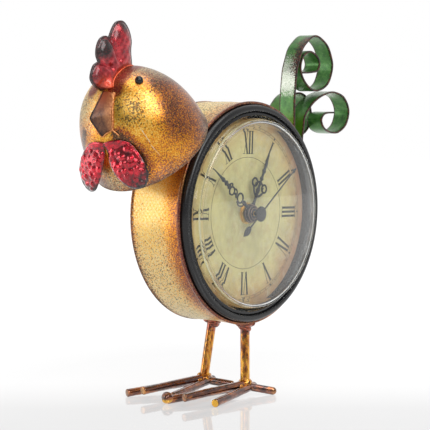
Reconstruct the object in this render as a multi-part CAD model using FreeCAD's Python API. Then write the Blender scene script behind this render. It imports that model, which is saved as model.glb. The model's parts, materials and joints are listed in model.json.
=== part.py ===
"""Rooster desk clock: a sheet-iron rooster whose drum body holds a quartz clock insert.

Units are millimetres. X runs from the beak (-X) to the tail (+X), the dial faces -Y, Z is up.
Every sub-part is drawn from the centre of the drum; save() moves it so that the floor is
z = 0 and the origin is under the middle of the whole object.
"""

import FreeCAD, Part
import math
import os

V = FreeCAD.Vector

# ---------------------------------------------------------------- driving dimensions
DRUM_CENTRE = V(0.1, 0, 123.7)       # where the drum's centre stands over the floor
DRUM_RADIUS = 75.0
DRUM_DEPTH = 42.5
SHEET = 1.0                          # iron sheet of the drum
THIN_SHEET = 0.8                     # sheet of the head, comb, beak and wattles
HEM_RADIUS = 1.1                     # rolled hem at each mouth of the drum
PANEL_Y = 18.6                       # outer side of the panel that closes the back
PANEL_WINDOW = 64.0                  # square opening for battery and setting knob
PANEL_WINDOW_CORNER = 6.0
PANEL_LIP = 3.0                      # depth of the panel's folded lip
PANEL_MIDDLE = 8.0                   # radius cleared in the middle, inside the window

HEAD_RIM_CENTRE = V(-78.0, 0, 45.6)
HEAD_TILT = 49.5                     # degrees of the head's axis above the horizontal
HEAD_RADIUS = 40.0
HEAD_LENGTH = 58.8
HEAD_POWER = 2.16                    # superellipse power of the head's profile
HEAD_HEM_RADIUS = 1.0                # rolled edge round the head's mouth
FACE_ROLL = 8.0                      # degrees that beak and wattles sit round from the comb's plane
NECK_RADIUS = 12.0
NECK_WALL = 1.2

EYE_RADIUS = 2.9
EYE_CENTRE = V(-109.6, 18.8, 88.9)

COMB_SPREAD = 3.8                    # how far each comb half bulges from the middle plane
COMB_FLANGE = 1.6                    # flat rim of each comb half
COMB_FOOT_WIDTH = 6.5                # half width of the comb's foot on the head
COMB_FOOT_X = (-122, -97)            # where that foot starts and ends
COMB_LOBES = [                       # (x, z) through each lobe, from the back to the front
    [
        (-96, 98), (-97, 107), (-96.5, 114), (-99, 121),
        (-103.7, 125.6), (-109, 125.5), (-112.8, 122.3), (-116.7, 115.4),
    ],
    [(-116.7, 115.4), (-120.7, 116.2), (-125, 113.8), (-127.5, 109), (-127.9, 104), (-126.3, 100.3)],
    [
        (-126.3, 100.3), (-130.3, 98), (-132.7, 93), (-133, 89.4),
        (-130.8, 86.2), (-127, 83.8), (-122.5, 82),
    ],
]
BEAK_RIDGE = [V(-123.4, 0, 82.4), V(-138.3, 0, 66.8), V(-137.9, 0, 63.6), V(-127.2, 0, 54.0)]
BEAK_SEAM = [(-123.6, 7.9, 80.3), (-126.9, 8.4, 66.8), (-126.9, 7.7, 57.5)]
BEAK_LEFT_SHARE = [0.15, 0.72, 0.45]  # the left half is hammered narrower than the right one
BEAK_CORE = V(-112, 0, 69)           # a point well inside the head
WATTLE_ROOT = V(-120.8, -3.8, 52.4)
WATTLE_TIP = V(-116.2, -21.3, 22.1)
WATTLE_TWIST = 10.6                  # degrees that each leaf is twisted about its length
WATTLE_BULGE_RADIUS = 34.0
WATTLE_STANDOFF = 6.0
WATTLE_THICK = 1.0
WATTLE_SHAPE = [(0.0, 4.8), (0.2, 8.3), (0.45, 10.2), (0.7, 9.8), (0.9, 7.0)]   # along, half width

STRIP_WIDTH = 13.6                   # tail strips
STRIP_THICK = 1.3
LARGE_CURL = [                       # (x, z) along the middle of each strip, from its weld
    (75.7, -2), (75.2, 10), (72.6, 22), (70.0, 34), (69.0, 48), (68.5, 64), (69.0, 82), (71.6, 99),
    (79.5, 114), (93.4, 122.0), (107.5, 116), (115.2, 102.5), (110.5, 88.5), (95.5, 82.6), (82.0, 87.6),
    (75.8, 98.0), (79.0, 107.0), (87.5, 110.6), (95.5, 107.6), (98.8, 101.8), (96.0, 97.0), (88.0, 95.9),
    (77.5, 95.4),
]
SMALL_CURL = [
    (77.1, -2), (77.4, 10), (77.3, 24), (77.6, 38), (78.4, 52), (80.8, 63), (86.0, 69.6), (93.0, 74.6),
    (104.5, 79.6), (118.1, 81.4), (131.0, 77), (137.2, 67.5), (133.5, 57.5), (124.5, 52.4), (114.5, 51.8),
    (105.5, 55), (101.8, 60.6), (104.3, 65.0), (110.0, 66.3), (117.6, 66.6),
]
REAR_CURL = [
    (64.9, 38.4), (62.5, 46), (65.0, 56), (72.0, 68), (82.0, 77.5), (93.0, 81.0), (103.0, 77.0),
    (108.0, 68.0), (106.5, 58.0), (99.0, 51.5), (90.5, 52.5), (86.5, 59.0), (89.0, 65.0), (95.0, 67.0),
]
REAR_CURL_GAP = 0.4                  # between the rear strip and the two beside it

LEG_RADIUS = 3.25
TOE_RADIUS = 2.6
TOE_FLAT = 0.1                       # depth of the flat worn under each toe tip
LEG_TOPS = {-1: V(-0.6, -16.0, -70.0), 1: V(1.5, 14.0, -70.0)}
ANKLES = {-1: (-4.3, -19.0), 1: (-4.7, 17.0)}      # x and y of each foot's junction
COLLAR_LENGTH = 6.5                  # weld collar under the drum
COLLAR_SPREAD = 3.2
COLLAR_DROP = 11.0                   # from the rod's hidden top end to the collar's lower edge
WELD_BALL = 1.3                      # how far the weld at the foot stands out from the rod
ANKLE_HEIGHT = 6.0                   # height of the foot's junction over the floor
MIDDLE_TOE_HEIGHT = 6.5              # the middle toe stands clear of the floor
FRONT_TOES = {"inner": (-12.5, 45.5), "outer": (20.5, 60.0), "middle": (5.0, 58.0)}   # degrees, length
INNER_TOE_HEEL = V(8.0, -1.5, -0.6)  # the inner toe's rod runs on behind the junction
BACK_TOE = (11.6, -14.8)             # x and y from the junction to the back toe's end

CLOCK_TURN = 2.5                     # degrees that the insert sits turned in the drum
BEZEL_RADIUS = 73.3
BEZEL_INNER = 64.3
DIAL_RADIUS = 65.4
DIAL_FRONT_Y = -16.0
DIAL_THICK = 0.5
CASE_FRONT_Y = -15.5
CASE_BACK_Y = -14.0
CASE_FLANGE_Y = -15.2                # where case and bezel meet
CASE_RADIUS = 71.5
CASE_KERB_Y = -11.0
BEZEL_LEDGE_Y = -20.4                # the lens stands on this ledge
BEZEL_BEAD = 2.6                     # radius of the bezel's front bead
BEZEL_FRONT_Y = -25.0
SCREW_CIRCLE = 68.0
SCREW_RADIUS = 0.9
SCREW_TIP_Y = -20.0
GASKET_Y = (-19.5, -16.0)
LENS_RADIUS = 66.0
LENS_CORNER_RADIUS = 62.6
LENS_CORNER_Y = -29.0
LENS_CROWN_Y = -34.0
LENS_THICK = 1.3

HOUSING_HALF = 28.5                  # movement housing, square
HOUSING_FRONT_Y = -13.0
HOUSING_WALL = 0.8
HOUSING_FLOOR_Y = -11.8
HOUSING_REAR_Y = 1.8
BAY_TOP_Z = -12.6                    # battery bay lies below this height
BUSHING_RADIUS = 4.0
BUSHING_END_Y = -18.6
RUN = 0.05                           # radial running clearance
ARBOR = 0.45                         # radius of the thin arbors
MINUTE_TUBE = 1.55                   # outer radius of the minute arbor
HOUR_TUBE = 2.5                      # outer radius of the hour tube
SETTING_SHAFT = 1.2
MOTION_STUD = 0.6
PIVOT_FRONT_Y = -12.6                # front ends of arbors that run in the housing
PIVOT_BACK_Y = 1.4                   # back ends of arbors that run in the cover
PLATE_Y = (-7.4, -6.7)               # gear plate
COVER_FRONT_Y = 0.6

HOUR_PLANE_Y = -19.6
MINUTE_PLANE_Y = -21.8
SECOND_PLANE_Y = -28.4
HOUR_LENGTH = 44.0
MINUTE_LENGTH = 52.4
SECOND_LENGTH = 49.1
SECOND_TAIL = 23.3
HAND_THICK = 0.5
HOUR_ANGLE = 28.1                    # rest angles clockwise from the top: 12:51:08 on a
MINUTE_ANGLE = 307.4                 # dial that is itself turned by CLOCK_TURN
SECOND_ANGLE = 53.5

BATTERY_RADIUS = 7.25
BATTERY_LENGTH = 50.5
BATTERY_Z = -20.2
BATTERY_Y = -4.4

# gear train: module in mm and teeth
SECOND_WHEEL = (0.40, 40)
INTERMEDIATE_PINION = (0.40, 8)
INTERMEDIATE_WHEEL = (0.35, 48)
ROTOR_PINION = (0.35, 8)
SECOND_PINION = (0.36, 8)
THIRD_WHEEL = (0.36, 60)
THIRD_PINION = (0.34, 8)
CENTRE_WHEEL = (0.34, 64)
CANNON_PINION = (0.50, 12)
MOTION_WHEEL = (0.50, 36)
MOTION_PINION = (0.48, 10)
HOUR_WHEEL = (0.48, 40)
SETTING_PINION = (0.50, 14)

# where each wheel stands in the depth of the movement, front and back
SECOND_WHEEL_Y = (-4.8, -3.8)
SECOND_PINION_Y = (-6.5, -4.8)
THIRD_WHEEL_Y = (-6.3, -5.5)
THIRD_PINION_Y = (-9.0, -6.3)
INTERMEDIATE_WHEEL_Y = (-3.1, -2.1)
INTERMEDIATE_PINION_Y = (-5.0, -3.1)
ROTOR_PINION_Y = (-3.5, -1.7)
ROTOR_MAGNET_Y = (-6.2, -4.2)
CENTRE_WHEEL_Y = (-8.8, -7.9)
CANNON_PINION_Y = (-10.3, -9.1)
MOTION_WHEEL_Y = (-10.2, -9.2)
MOTION_PINION_Y = (-11.7, -10.2)
HOUR_WHEEL_Y = (-11.6, -10.7)

# bearing of each arbor from the one that it meshes with, degrees from +X
THIRD_BEARING = 60.0
INTERMEDIATE_BEARING = 135.0
ROTOR_BEARING = 150.0
MOTION_BEARING = 0.0
SETTING_BEARING = 40.0

STATOR_Y = (-5.7, -4.7)
STATOR_ARM = 4.0
COIL_X = -23.4
COIL_Y = -5.2
COIL_LOW_Z = -4.9
COIL_HIGH_Z = 21.9
COIL_CORE = 1.6
COIL_FLANGE = 0.8

AXIS_Y = V(0, 1, 0)
CENTRE = V(0, 0, 0)
FAR = 60.0                           # long enough to pass right through anything along Y
SAVED = []


# ---------------------------------------------------------------- helpers
def save(name, shape):
    """Moves a finished sub-part from drum coordinates to the floor frame and writes it."""
    placed = shape.copy()
    placed.translate(DRUM_CENTRE)
    placed.exportStep("parts/" + name + ".step")
    SAVED.append(name)


def polar(radius, degrees):
    """A point of the dial plane, angle clockwise from the top as seen from the front."""
    a = math.radians(degrees)
    return V(radius * math.sin(a), 0, radius * math.cos(a))


def mesh_distance(first, second):
    """Distance between the arbors of two meshing gears."""
    return (first[0] * first[1] + second[0] * second[1]) / 2


def rod(start, end, radius):
    """Round bar between two points."""
    return Part.makeCylinder(radius, (end - start).Length, start, end - start)


def disc(radius, y0, y1, centre=CENTRE):
    """A solid disc about an axis parallel to Y, from y0 to y1."""
    return Part.makeCylinder(radius, y1 - y0, V(centre.x, y0, centre.z), AXIS_Y)


def ring(outer, inner, y0, y1, centre=CENTRE):
    """A disc with a round hole through it."""
    return disc(outer, y0, y1, centre).cut(disc(inner, y0 - 1, y1 + 1, centre))


def bore(shape, radius, places=(CENTRE,)):
    """Drills holes right through a shape along Y."""
    return cut_all(shape, [disc(radius, -FAR, FAR, p) for p in places])


def box(x0, x1, y0, y1, z0, z1):
    """A block given by its limits on each axis."""
    return Part.makeBox(x1 - x0, y1 - y0, z1 - z0, V(x0, y0, z0))


def flat_face(points, y):
    """A plane face at height y through (x, z) points."""
    corners = [V(x, y, z) for x, z in points]
    return Part.Face(Part.makePolygon(corners + corners[:1]))


def turned(profile):
    """The solid of a closed (radius, y) outline turned about the Y axis."""
    corners = [V(r, y, 0) for r, y in profile]
    face = Part.Face(Part.makePolygon(corners + corners[:1]))
    return face.revolve(V(0, 0, 0), AXIS_Y, 360)


def spline(points):
    """A smooth curve through the points."""
    curve = Part.BSplineCurve()
    curve.interpolate(points)
    return curve


def clockwise(shape, degrees):
    """Turns a shape about the clock's axis, clockwise as seen from the front."""
    result = shape.copy()
    result.rotate(V(0, 0, 0), AXIS_Y, degrees)
    return result


def fuse_all(shapes):
    """One solid from several."""
    result = shapes[0]
    for shape in shapes[1:]:
        result = result.fuse(shape)
    return result.removeSplitter()


def cut_all(shape, tools):
    """Takes every tool away from a shape."""
    for tool in tools:
        shape = shape.cut(tool)
    return shape


def largest(shape):
    """The biggest solid of a shape that may have fallen apart."""
    return max(shape.Solids, key=lambda s: s.Volume)


def highest(shape):
    """The solid that lies highest."""
    return max(shape.Solids, key=lambda s: s.CenterOfMass.z)


# ---------------------------------------------------------------- drum and back panel
def drum_hems():
    """Rolled edge round each mouth of the drum."""
    place = DRUM_DEPTH / 2 - HEM_RADIUS
    radius = DRUM_RADIUS - HEM_RADIUS / 2
    front, back = [Part.makeTorus(radius, HEM_RADIUS, V(0, y, 0), AXIS_Y) for y in (-place, place)]
    return front.fuse(back)


def drum_shell():
    """Rolled sheet-iron drum with a rolled hem round each mouth."""
    half = DRUM_DEPTH / 2
    tube = ring(DRUM_RADIUS, DRUM_RADIUS - SHEET, -half + HEM_RADIUS, half - HEM_RADIUS)
    shell = tube.fuse(drum_hems())
    return shell.cut(disc(DRUM_RADIUS - SHEET, -half - 1, half + 1))


def rear_panel():
    """Pressed sheet disc with a folded lip, closed round the battery window."""
    edge = DRUM_RADIUS - SHEET
    dish = turned([
        (PANEL_MIDDLE, PANEL_Y - THIN_SHEET),
        (edge - THIN_SHEET, PANEL_Y - THIN_SHEET),
        (edge - THIN_SHEET, PANEL_Y - PANEL_LIP),
        (edge, PANEL_Y - PANEL_LIP),
        (edge, PANEL_Y),
        (PANEL_MIDDLE, PANEL_Y),
    ])
    half = PANEL_WINDOW / 2
    window = box(-half, half, 0, FAR, -half, half)
    edges = [e for e in window.Edges if abs(e.tangentAt(e.FirstParameter).y) > 0.99]
    return dish.cut(clockwise(window.makeFillet(PANEL_WINDOW_CORNER, edges), CLOCK_TURN))


def drum_envelope():
    """Everything inside the drum's outer radius."""
    return disc(DRUM_RADIUS, -DRUM_DEPTH, DRUM_DEPTH)


# ---------------------------------------------------------------- head
def head_axis():
    """Direction from the middle of the head's mouth to its crown."""
    a = math.radians(HEAD_TILT)
    return V(-math.cos(a), 0, math.sin(a))


def head_solid(offset):
    """Solid of the head's bowl, grown outwards by offset from its outer skin."""
    radius = HEAD_RADIUS + offset
    length = HEAD_LENGTH + offset
    power = 2 / HEAD_POWER
    steps = 14
    rim = []
    for i in range(steps + 1):
        t = math.pi / 2 * i / steps
        across = radius * math.cos(t) ** power if i < steps else 0
        rim.append(V(across, length * math.sin(t) ** power, 0))
    curve = Part.BSplineCurve()
    curve.interpolate(Points=rim, InitialTangent=V(0, 1, 0), FinalTangent=V(-1, 0, 0))
    outline = Part.Wire([
        curve.toShape(),
        Part.makeLine(rim[-1], V(0, 0, 0)),
        Part.makeLine(V(0, 0, 0), rim[0]),
    ])
    bowl = Part.Face(outline).revolve(V(0, 0, 0), AXIS_Y, 360)
    bowl.Placement = FreeCAD.Placement(HEAD_RIM_CENTRE, FreeCAD.Rotation(AXIS_Y, head_axis()))
    return bowl


def head_shell(outer):
    """Pressed bowl of the head, with a rolled edge round its mouth."""
    axis = head_axis()
    ring_radius = HEAD_RADIUS - 0.6
    hem = Part.makeTorus(ring_radius, HEAD_HEM_RADIUS, HEAD_RIM_CENTRE + axis * 0.9, axis)
    shell = outer.fuse(hem).cut(head_solid(-THIN_SHEET))
    opening = ring_radius - HEAD_HEM_RADIUS - 0.1
    mouth = rod(HEAD_RIM_CENTRE - axis * 5, HEAD_RIM_CENTRE + axis * 4, opening)
    return largest(shell.cut(mouth))


def head_back_plate():
    """Flat disc that closes the head's mouth."""
    start = HEAD_RIM_CENTRE + head_axis() * 0.5
    return rod(start, start + head_axis() * THIN_SHEET, HEAD_RADIUS - 1.75)


def neck_tube(plate):
    """Short tube welded between the drum and the head's back plate."""
    out = V(HEAD_RIM_CENTRE)
    out.normalize()
    start = out * (DRUM_RADIUS - 4)
    end = out * (HEAD_RIM_CENTRE.Length + 12)
    tube = rod(start, end, NECK_RADIUS).cut(rod(start, end, NECK_RADIUS - NECK_WALL))
    behind = Part.makeCylinder(60, 60, HEAD_RIM_CENTRE + head_axis() * 0.5, head_axis())
    return largest(cut_all(tube, [drum_envelope(), behind, plate]))


def eye(side, outer):
    """Black glass bead glued to the head."""
    centre = V(EYE_CENTRE.x, side * EYE_CENTRE.y, EYE_CENTRE.z)
    return Part.makeSphere(EYE_RADIUS, centre).cut(outer)


def comb_outline(inset):
    """Three lobes of the comb in the middle plane, drawn inwards by inset, closed inside the head."""
    edges = []
    last = None
    for lobe in COMB_LOBES:
        curve = spline([V(x, 0, z) for x, z in lobe])
        points = []
        steps = len(lobe) * 2
        for i in range(steps + 1):
            t = curve.FirstParameter + (curve.LastParameter - curve.FirstParameter) * i / steps
            inwards = AXIS_Y.cross(curve.tangent(t)[0])
            inwards.normalize()
            points.append(curve.value(t) - inwards * inset)
        if last and last.distanceToPoint(points[0]) > 0.01:
            edges.append(Part.makeLine(last, points[0]))
        edges.append(spline(points).toShape())
        last = points[-1]
    closing = [last, V(-112, 0, 82), V(-98, 0, 88), edges[0].Vertexes[0].Point]
    edges += [Part.makeLine(a, b) for a, b in zip(closing, closing[1:])]
    return Part.Face(Part.Wire(edges))


def comb_half(side, outer):
    """One embossed sheet half of the comb: flange, raised open-backed field and a foot on the head."""
    flange = comb_outline(0).extrude(V(0, side * THIN_SHEET, 0))
    raised = comb_outline(COMB_FLANGE).extrude(V(0, side * COMB_SPREAD, 0))
    inner = comb_outline(COMB_FLANGE + THIN_SHEET).extrude(V(0, side * (COMB_SPREAD - THIN_SHEET), 0))
    blade_sheet = highest(flange.fuse(raised).cut(inner).cut(outer))
    skin = head_solid(THIN_SHEET).cut(outer)
    y0, y1 = sorted((0, side * COMB_FOOT_WIDTH))
    foot_area = box(*COMB_FOOT_X, y0, y1, 80, 101)
    foot_plate = highest(foot_area.common(skin)).cut(inner)
    return largest(blade_sheet.fuse(foot_plate))


def roll_face(shape):
    """Turns a part of the face about the head's axis."""
    result = shape.copy()
    result.rotate(HEAD_RIM_CENTRE, head_axis(), FACE_ROLL)
    return result


def beak(outer):
    """Folded sheet beak: a shallow pyramid with its ridge in the middle plane of the face."""
    def pyramid(inset, narrow):
        """Solid pyramid, moved in by inset and narrowed, for the outside or the hollow."""
        shift = V(inset, 0, 0)
        top, tip, chin, bottom = [p + shift for p in BEAK_RIDGE]
        core = BEAK_CORE + shift
        faces = []
        for side in (-1, 1):
            shares = BEAK_LEFT_SHARE if side > 0 else [1, 1, 1]
            seam = zip(BEAK_SEAM, shares)
            high, middle, low = [V(x + inset, side * y * share * narrow, z) for (x, y, z), share in seam]
            cheek = [(top, tip, high), (tip, middle, high), (tip, chin, middle)]
            cheek += [(chin, low, middle), (chin, bottom, low)]
            back = [(top, high, core), (high, middle, core), (middle, low, core), (low, bottom, core)]
            for loop in cheek + back:
                faces.append(Part.Face(Part.makePolygon(list(loop) + [loop[0]])))
        return Part.Solid(Part.Shell(faces))
    shell = pyramid(0, 1).cut(pyramid(1.2, 0.86))
    return largest(roll_face(shell).cut(outer))


def wattle(side, outer, beak_shape):
    """Convex leaf of hammered sheet that hangs from under the beak."""
    root = V(WATTLE_ROOT.x, -side * WATTLE_ROOT.y, WATTLE_ROOT.z)
    tip = V(WATTLE_TIP.x, -side * WATTLE_TIP.y, WATTLE_TIP.z)
    along = tip - root
    length = along.Length
    along.normalize()
    middle = root + along * (length / 2)
    axis = head_axis()
    foot = HEAD_RIM_CENTRE + axis * ((middle - HEAD_RIM_CENTRE).dot(axis))
    out = middle - foot
    out = out - along * out.dot(along)
    out.normalize()
    twist = FreeCAD.Rotation(along, side * WATTLE_TWIST)
    out = twist.multVec(out)
    across = along.cross(out)
    points = [root + along * (length * u) + across * w for u, w in WATTLE_SHAPE]
    points.append(tip)
    points += [root + along * (length * u) - across * w for u, w in reversed(WATTLE_SHAPE)]
    reach = 14.0
    points = [p - out * reach for p in points]
    leaf = Part.Wire([spline(points).toShape(), Part.makeLine(points[-1], points[0])])
    prism = Part.Face(leaf).extrude(out * (2 * reach))
    centre = middle + out * (WATTLE_STANDOFF - WATTLE_BULGE_RADIUS)
    inside = Part.makeSphere(WATTLE_BULGE_RADIUS, centre)
    skin = Part.makeSphere(WATTLE_BULGE_RADIUS + WATTLE_THICK, centre).cut(inside)
    return largest(roll_face(prism.common(skin)).cut(outer).cut(beak_shape))


# ---------------------------------------------------------------- tail
def strip(points, y0, y1):
    """Flat strip bent along an (x, z) centre line, from y0 to y1 in width."""
    middle = spline([V(x, 0, z) for x, z in points])
    samples = 6 * len(points)
    left = []
    right = []
    for i in range(samples + 1):
        t = middle.FirstParameter + (middle.LastParameter - middle.FirstParameter) * i / samples
        tangent = middle.tangent(t)[0]
        side = tangent.cross(AXIS_Y)
        side.normalize()
        point = middle.value(t)
        left.append(point + side * (STRIP_THICK / 2))
        right.append(point - side * (STRIP_THICK / 2))
    outline = Part.Wire([
        spline(left).toShape(),
        Part.makeLine(left[-1], right[-1]),
        spline(right[::-1]).toShape(),
        Part.makeLine(right[0], left[0]),
    ])
    solid = Part.Face(outline).extrude(V(0, y1 - y0, 0))
    solid.translate(V(0, y0, 0))
    return solid


def tail_curls():
    """Three scrolls: the large upper one, the small lower one and one behind them."""
    half = STRIP_WIDTH / 2
    drum = drum_envelope()
    rear_y = half + REAR_CURL_GAP
    large_strip = strip(LARGE_CURL, -half, half).cut(drum)
    small_strip = strip(SMALL_CURL, -half, half).cut(drum).cut(large_strip)
    rear_strip = strip(REAR_CURL, rear_y, rear_y + STRIP_WIDTH).cut(drum).cut(drum_hems())
    return largest(large_strip), largest(small_strip), largest(rear_strip)


# ---------------------------------------------------------------- legs and feet
def floor_height(h):
    """Height over the floor, in drum coordinates."""
    return h - DRUM_CENTRE.z


def leg(side):
    """Iron rod with a weld collar under the drum and a weld ball at the foot."""
    top = LEG_TOPS[side]
    ankle = V(*ANKLES[side], floor_height(ANKLE_HEIGHT + 1.5))
    shaft = rod(top, ankle, LEG_RADIUS)
    up = top - ankle
    up.normalize()
    collar_start = ankle + up * (top.z - ankle.z - COLLAR_DROP)
    collar = Part.makeCone(LEG_RADIUS, LEG_RADIUS + COLLAR_SPREAD, COLLAR_LENGTH, collar_start, up)
    ball = Part.makeSphere(LEG_RADIUS + WELD_BALL, ankle - V(0, 0, 1.2))
    whole = fuse_all([shaft, collar, ball]).cut(drum_envelope()).cut(drum_hems())
    return largest(whole), ankle


def foot(ankle, leg_shape):
    """Three front toes and one back toe, welded where they meet under the leg."""
    heart = V(ankle.x, ankle.y, floor_height(ANKLE_HEIGHT))
    tip_height = floor_height(TOE_RADIUS - TOE_FLAT)
    raised = floor_height(MIDDLE_TOE_HEIGHT)

    def tip(name, z):
        """End of a front toe at height z."""
        angle, length = FRONT_TOES[name]
        a = math.radians(angle)
        return V(heart.x - length * math.cos(a), heart.y + length * math.sin(a), z)

    ends = {
        "inner": (heart + INNER_TOE_HEEL, tip("inner", tip_height)),
        "outer": (heart, tip("outer", tip_height)),
        "middle": (heart + V(0, 0, 1.5), tip("middle", raised)),
        "back": (heart, V(heart.x + BACK_TOE[0], heart.y + BACK_TOE[1], tip_height)),
    }
    below = box(-2 * FAR, 2 * FAR, -FAR, FAR, floor_height(-FAR), floor_height(0))
    toes = {}
    earlier = [leg_shape]
    for name, (start, end) in ends.items():
        toe = rod(start, end, TOE_RADIUS)
        if name == "back":
            toe = toe.fuse(Part.makeSphere(TOE_RADIUS, end))
        toe = largest(cut_all(toe, earlier + [below]))
        toes[name] = toe
        earlier.append(toe)
    return toes


# ---------------------------------------------------------------- clock insert
def bezel_ring():
    """Black plastic ring with a rounded front bead and a ledge for the lens."""
    bead = []
    for i in range(7):
        a = math.radians(15 * i)
        across = BEZEL_RADIUS - BEZEL_BEAD + BEZEL_BEAD * math.cos(a)
        bead.append((across, BEZEL_FRONT_Y + BEZEL_BEAD - BEZEL_BEAD * math.sin(a)))
    lens_seat = LENS_RADIUS + 0.1
    dial_seat = DIAL_RADIUS + 0.1
    profile = [(BEZEL_RADIUS, CASE_FLANGE_Y)] + bead + [
        (lens_seat + 2.1, BEZEL_FRONT_Y),
        (lens_seat, BEZEL_FRONT_Y + 1.4),
        (lens_seat, BEZEL_LEDGE_Y),
        (BEZEL_INNER, BEZEL_LEDGE_Y),
        (BEZEL_INNER, DIAL_FRONT_Y),
        (dial_seat, DIAL_FRONT_Y),
        (dial_seat, CASE_FLANGE_Y),
    ]
    return cut_all(turned(profile), screw_holes(SCREW_TIP_Y - 1.0, CASE_FLANGE_Y + 0.2))


def screw_places():
    """Middles of the four case screws."""
    return [polar(SCREW_CIRCLE, 45 + 90 * i) for i in range(4)]


def screw_holes(y0, y1):
    """Clearance holes for the case screws."""
    return [disc(SCREW_RADIUS + RUN, y0, y1, p) for p in screw_places()]


def lens():
    """Clear domed cup that covers the hands."""
    def cup(thinner):
        """Solid cup, its skin moved inwards by thinner."""
        radius = LENS_RADIUS - thinner
        corner = LENS_CORNER_RADIUS - thinner
        corner_y = LENS_CORNER_Y + thinner
        crown_y = LENS_CROWN_Y + thinner
        edge = V(corner, corner_y, 0)
        crown = V(0, crown_y, 0)
        sag = corner_y - crown_y
        sphere = (corner * corner + sag * sag) / (2 * sag)
        half_way_y = crown_y + sphere - math.sqrt(sphere * sphere - corner * corner / 4)
        half_way = V(corner / 2, half_way_y, 0)
        wall = [(0, BEZEL_LEDGE_Y), (radius, BEZEL_LEDGE_Y), (radius, -22.4), (corner + 1.4, -23.8)]
        points = [V(r, y, 0) for r, y in wall] + [edge]
        edges = [Part.makeLine(a, b) for a, b in zip(points, points[1:])]
        edges += [Part.Arc(edge, half_way, crown).toShape(), Part.makeLine(crown, points[0])]
        return Part.Face(Part.Wire(edges)).revolve(V(0, 0, 0), AXIS_Y, 360)
    return cup(0).cut(cup(LENS_THICK))


def insert_gasket():
    """Rubber band that wedges the insert in the drum's mouth."""
    return ring(DRUM_RADIUS - SHEET, BEZEL_RADIUS, *GASKET_Y)


def dial_disc():
    """Printed dial, a thin disc with a hole for the threaded bushing."""
    return ring(DIAL_RADIUS, BUSHING_RADIUS + 0.1, DIAL_FRONT_Y, DIAL_FRONT_Y + DIAL_THICK)


def insert_case():
    """Plastic back of the insert, with a square kerb that keeps the movement from turning."""
    hole = BUSHING_RADIUS + 0.1
    rim_height = 1.4
    pan = turned([
        (hole, CASE_FRONT_Y),
        (DIAL_RADIUS, CASE_FRONT_Y),
        (DIAL_RADIUS, CASE_FLANGE_Y),
        (CASE_RADIUS, CASE_FLANGE_Y),
        (CASE_RADIUS, CASE_BACK_Y + rim_height),
        (CASE_RADIUS - 1.0, CASE_BACK_Y + rim_height),
        (CASE_RADIUS - 1.0, CASE_BACK_Y),
        (hole, CASE_BACK_Y),
    ])
    inner = HOUSING_HALF + 0.3
    outer = inner + 1.2
    kerb = box(-outer, outer, CASE_BACK_Y, CASE_KERB_Y, -outer, outer)
    kerb = kerb.cut(box(-inner, inner, -FAR, FAR, -inner, inner))
    return cut_all(fuse_all([pan, kerb]), screw_holes(-FAR, FAR))


def case_screws():
    """Four pan-head screws that hold the case to the bezel."""
    screws = []
    for place in screw_places():
        shank = disc(SCREW_RADIUS, SCREW_TIP_Y, CASE_BACK_Y, place)
        head = disc(2.0, CASE_BACK_Y, CASE_BACK_Y + 1.2, place)
        slot = box(place.x - 1.6, place.x + 1.6, CASE_BACK_Y + 0.7, 0, place.z - 0.25, place.z + 0.25)
        screws.append(shank.fuse(head.cut(slot)))
    return Part.makeCompound([largest(s) for s in screws])


# ---------------------------------------------------------------- gears
TOOTH = [(-1.2, -0.24), (0, -0.16), (0.75, -0.06), (0.75, 0.06), (0, 0.16), (-1.2, 0.24)]


def gear(spec, phase, layer):
    """A spur gear with slim teeth; phase is the angle of one tooth from the +X axis.

    TOOTH gives its outline as height over the pitch circle in modules and share of the pitch.
    """
    module, teeth = spec
    pitch_radius = module * teeth / 2
    step = 2 * math.pi / teeth
    points = []
    for i in range(teeth):
        middle = math.radians(phase) + i * step
        for height, share in TOOTH:
            radius = pitch_radius + height * module
            a = middle + share * step
            points.append((radius * math.cos(a), radius * math.sin(a)))
    front, back = layer
    return flat_face(points, front).extrude(V(0, back - front, 0))


def meshing_phase(spec, phase, bearing, other_spec):
    """Phase of the other gear that puts it in mesh, when it lies at the given bearing."""
    step = 360 / spec[1]
    other_step = 360 / other_spec[1]
    tooth_offset = (bearing - phase) / step
    return bearing + 180 - other_step * (0.5 - tooth_offset)


def at(shape, place):
    """Moves a shape from the clock's axis to another arbor."""
    moved = shape.copy()
    moved.translate(V(place.x, 0, place.z))
    return moved


def from_point(a, degrees, distance):
    """The point at a bearing and distance from another, in the dial plane."""
    t = math.radians(degrees)
    return V(a.x + distance * math.cos(t), 0, a.z + distance * math.sin(t))


THIRD_PLACE = from_point(CENTRE, THIRD_BEARING, mesh_distance(SECOND_PINION, THIRD_WHEEL))
INTERMEDIATE_PLACE = from_point(
    CENTRE, INTERMEDIATE_BEARING, mesh_distance(SECOND_WHEEL, INTERMEDIATE_PINION)
)
ROTOR_PLACE = from_point(
    INTERMEDIATE_PLACE, ROTOR_BEARING, mesh_distance(INTERMEDIATE_WHEEL, ROTOR_PINION)
)
MOTION_PLACE = from_point(CENTRE, MOTION_BEARING, mesh_distance(CANNON_PINION, MOTION_WHEEL))
SETTING_PLACE = from_point(MOTION_PLACE, SETTING_BEARING, mesh_distance(MOTION_WHEEL, SETTING_PINION))

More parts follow.
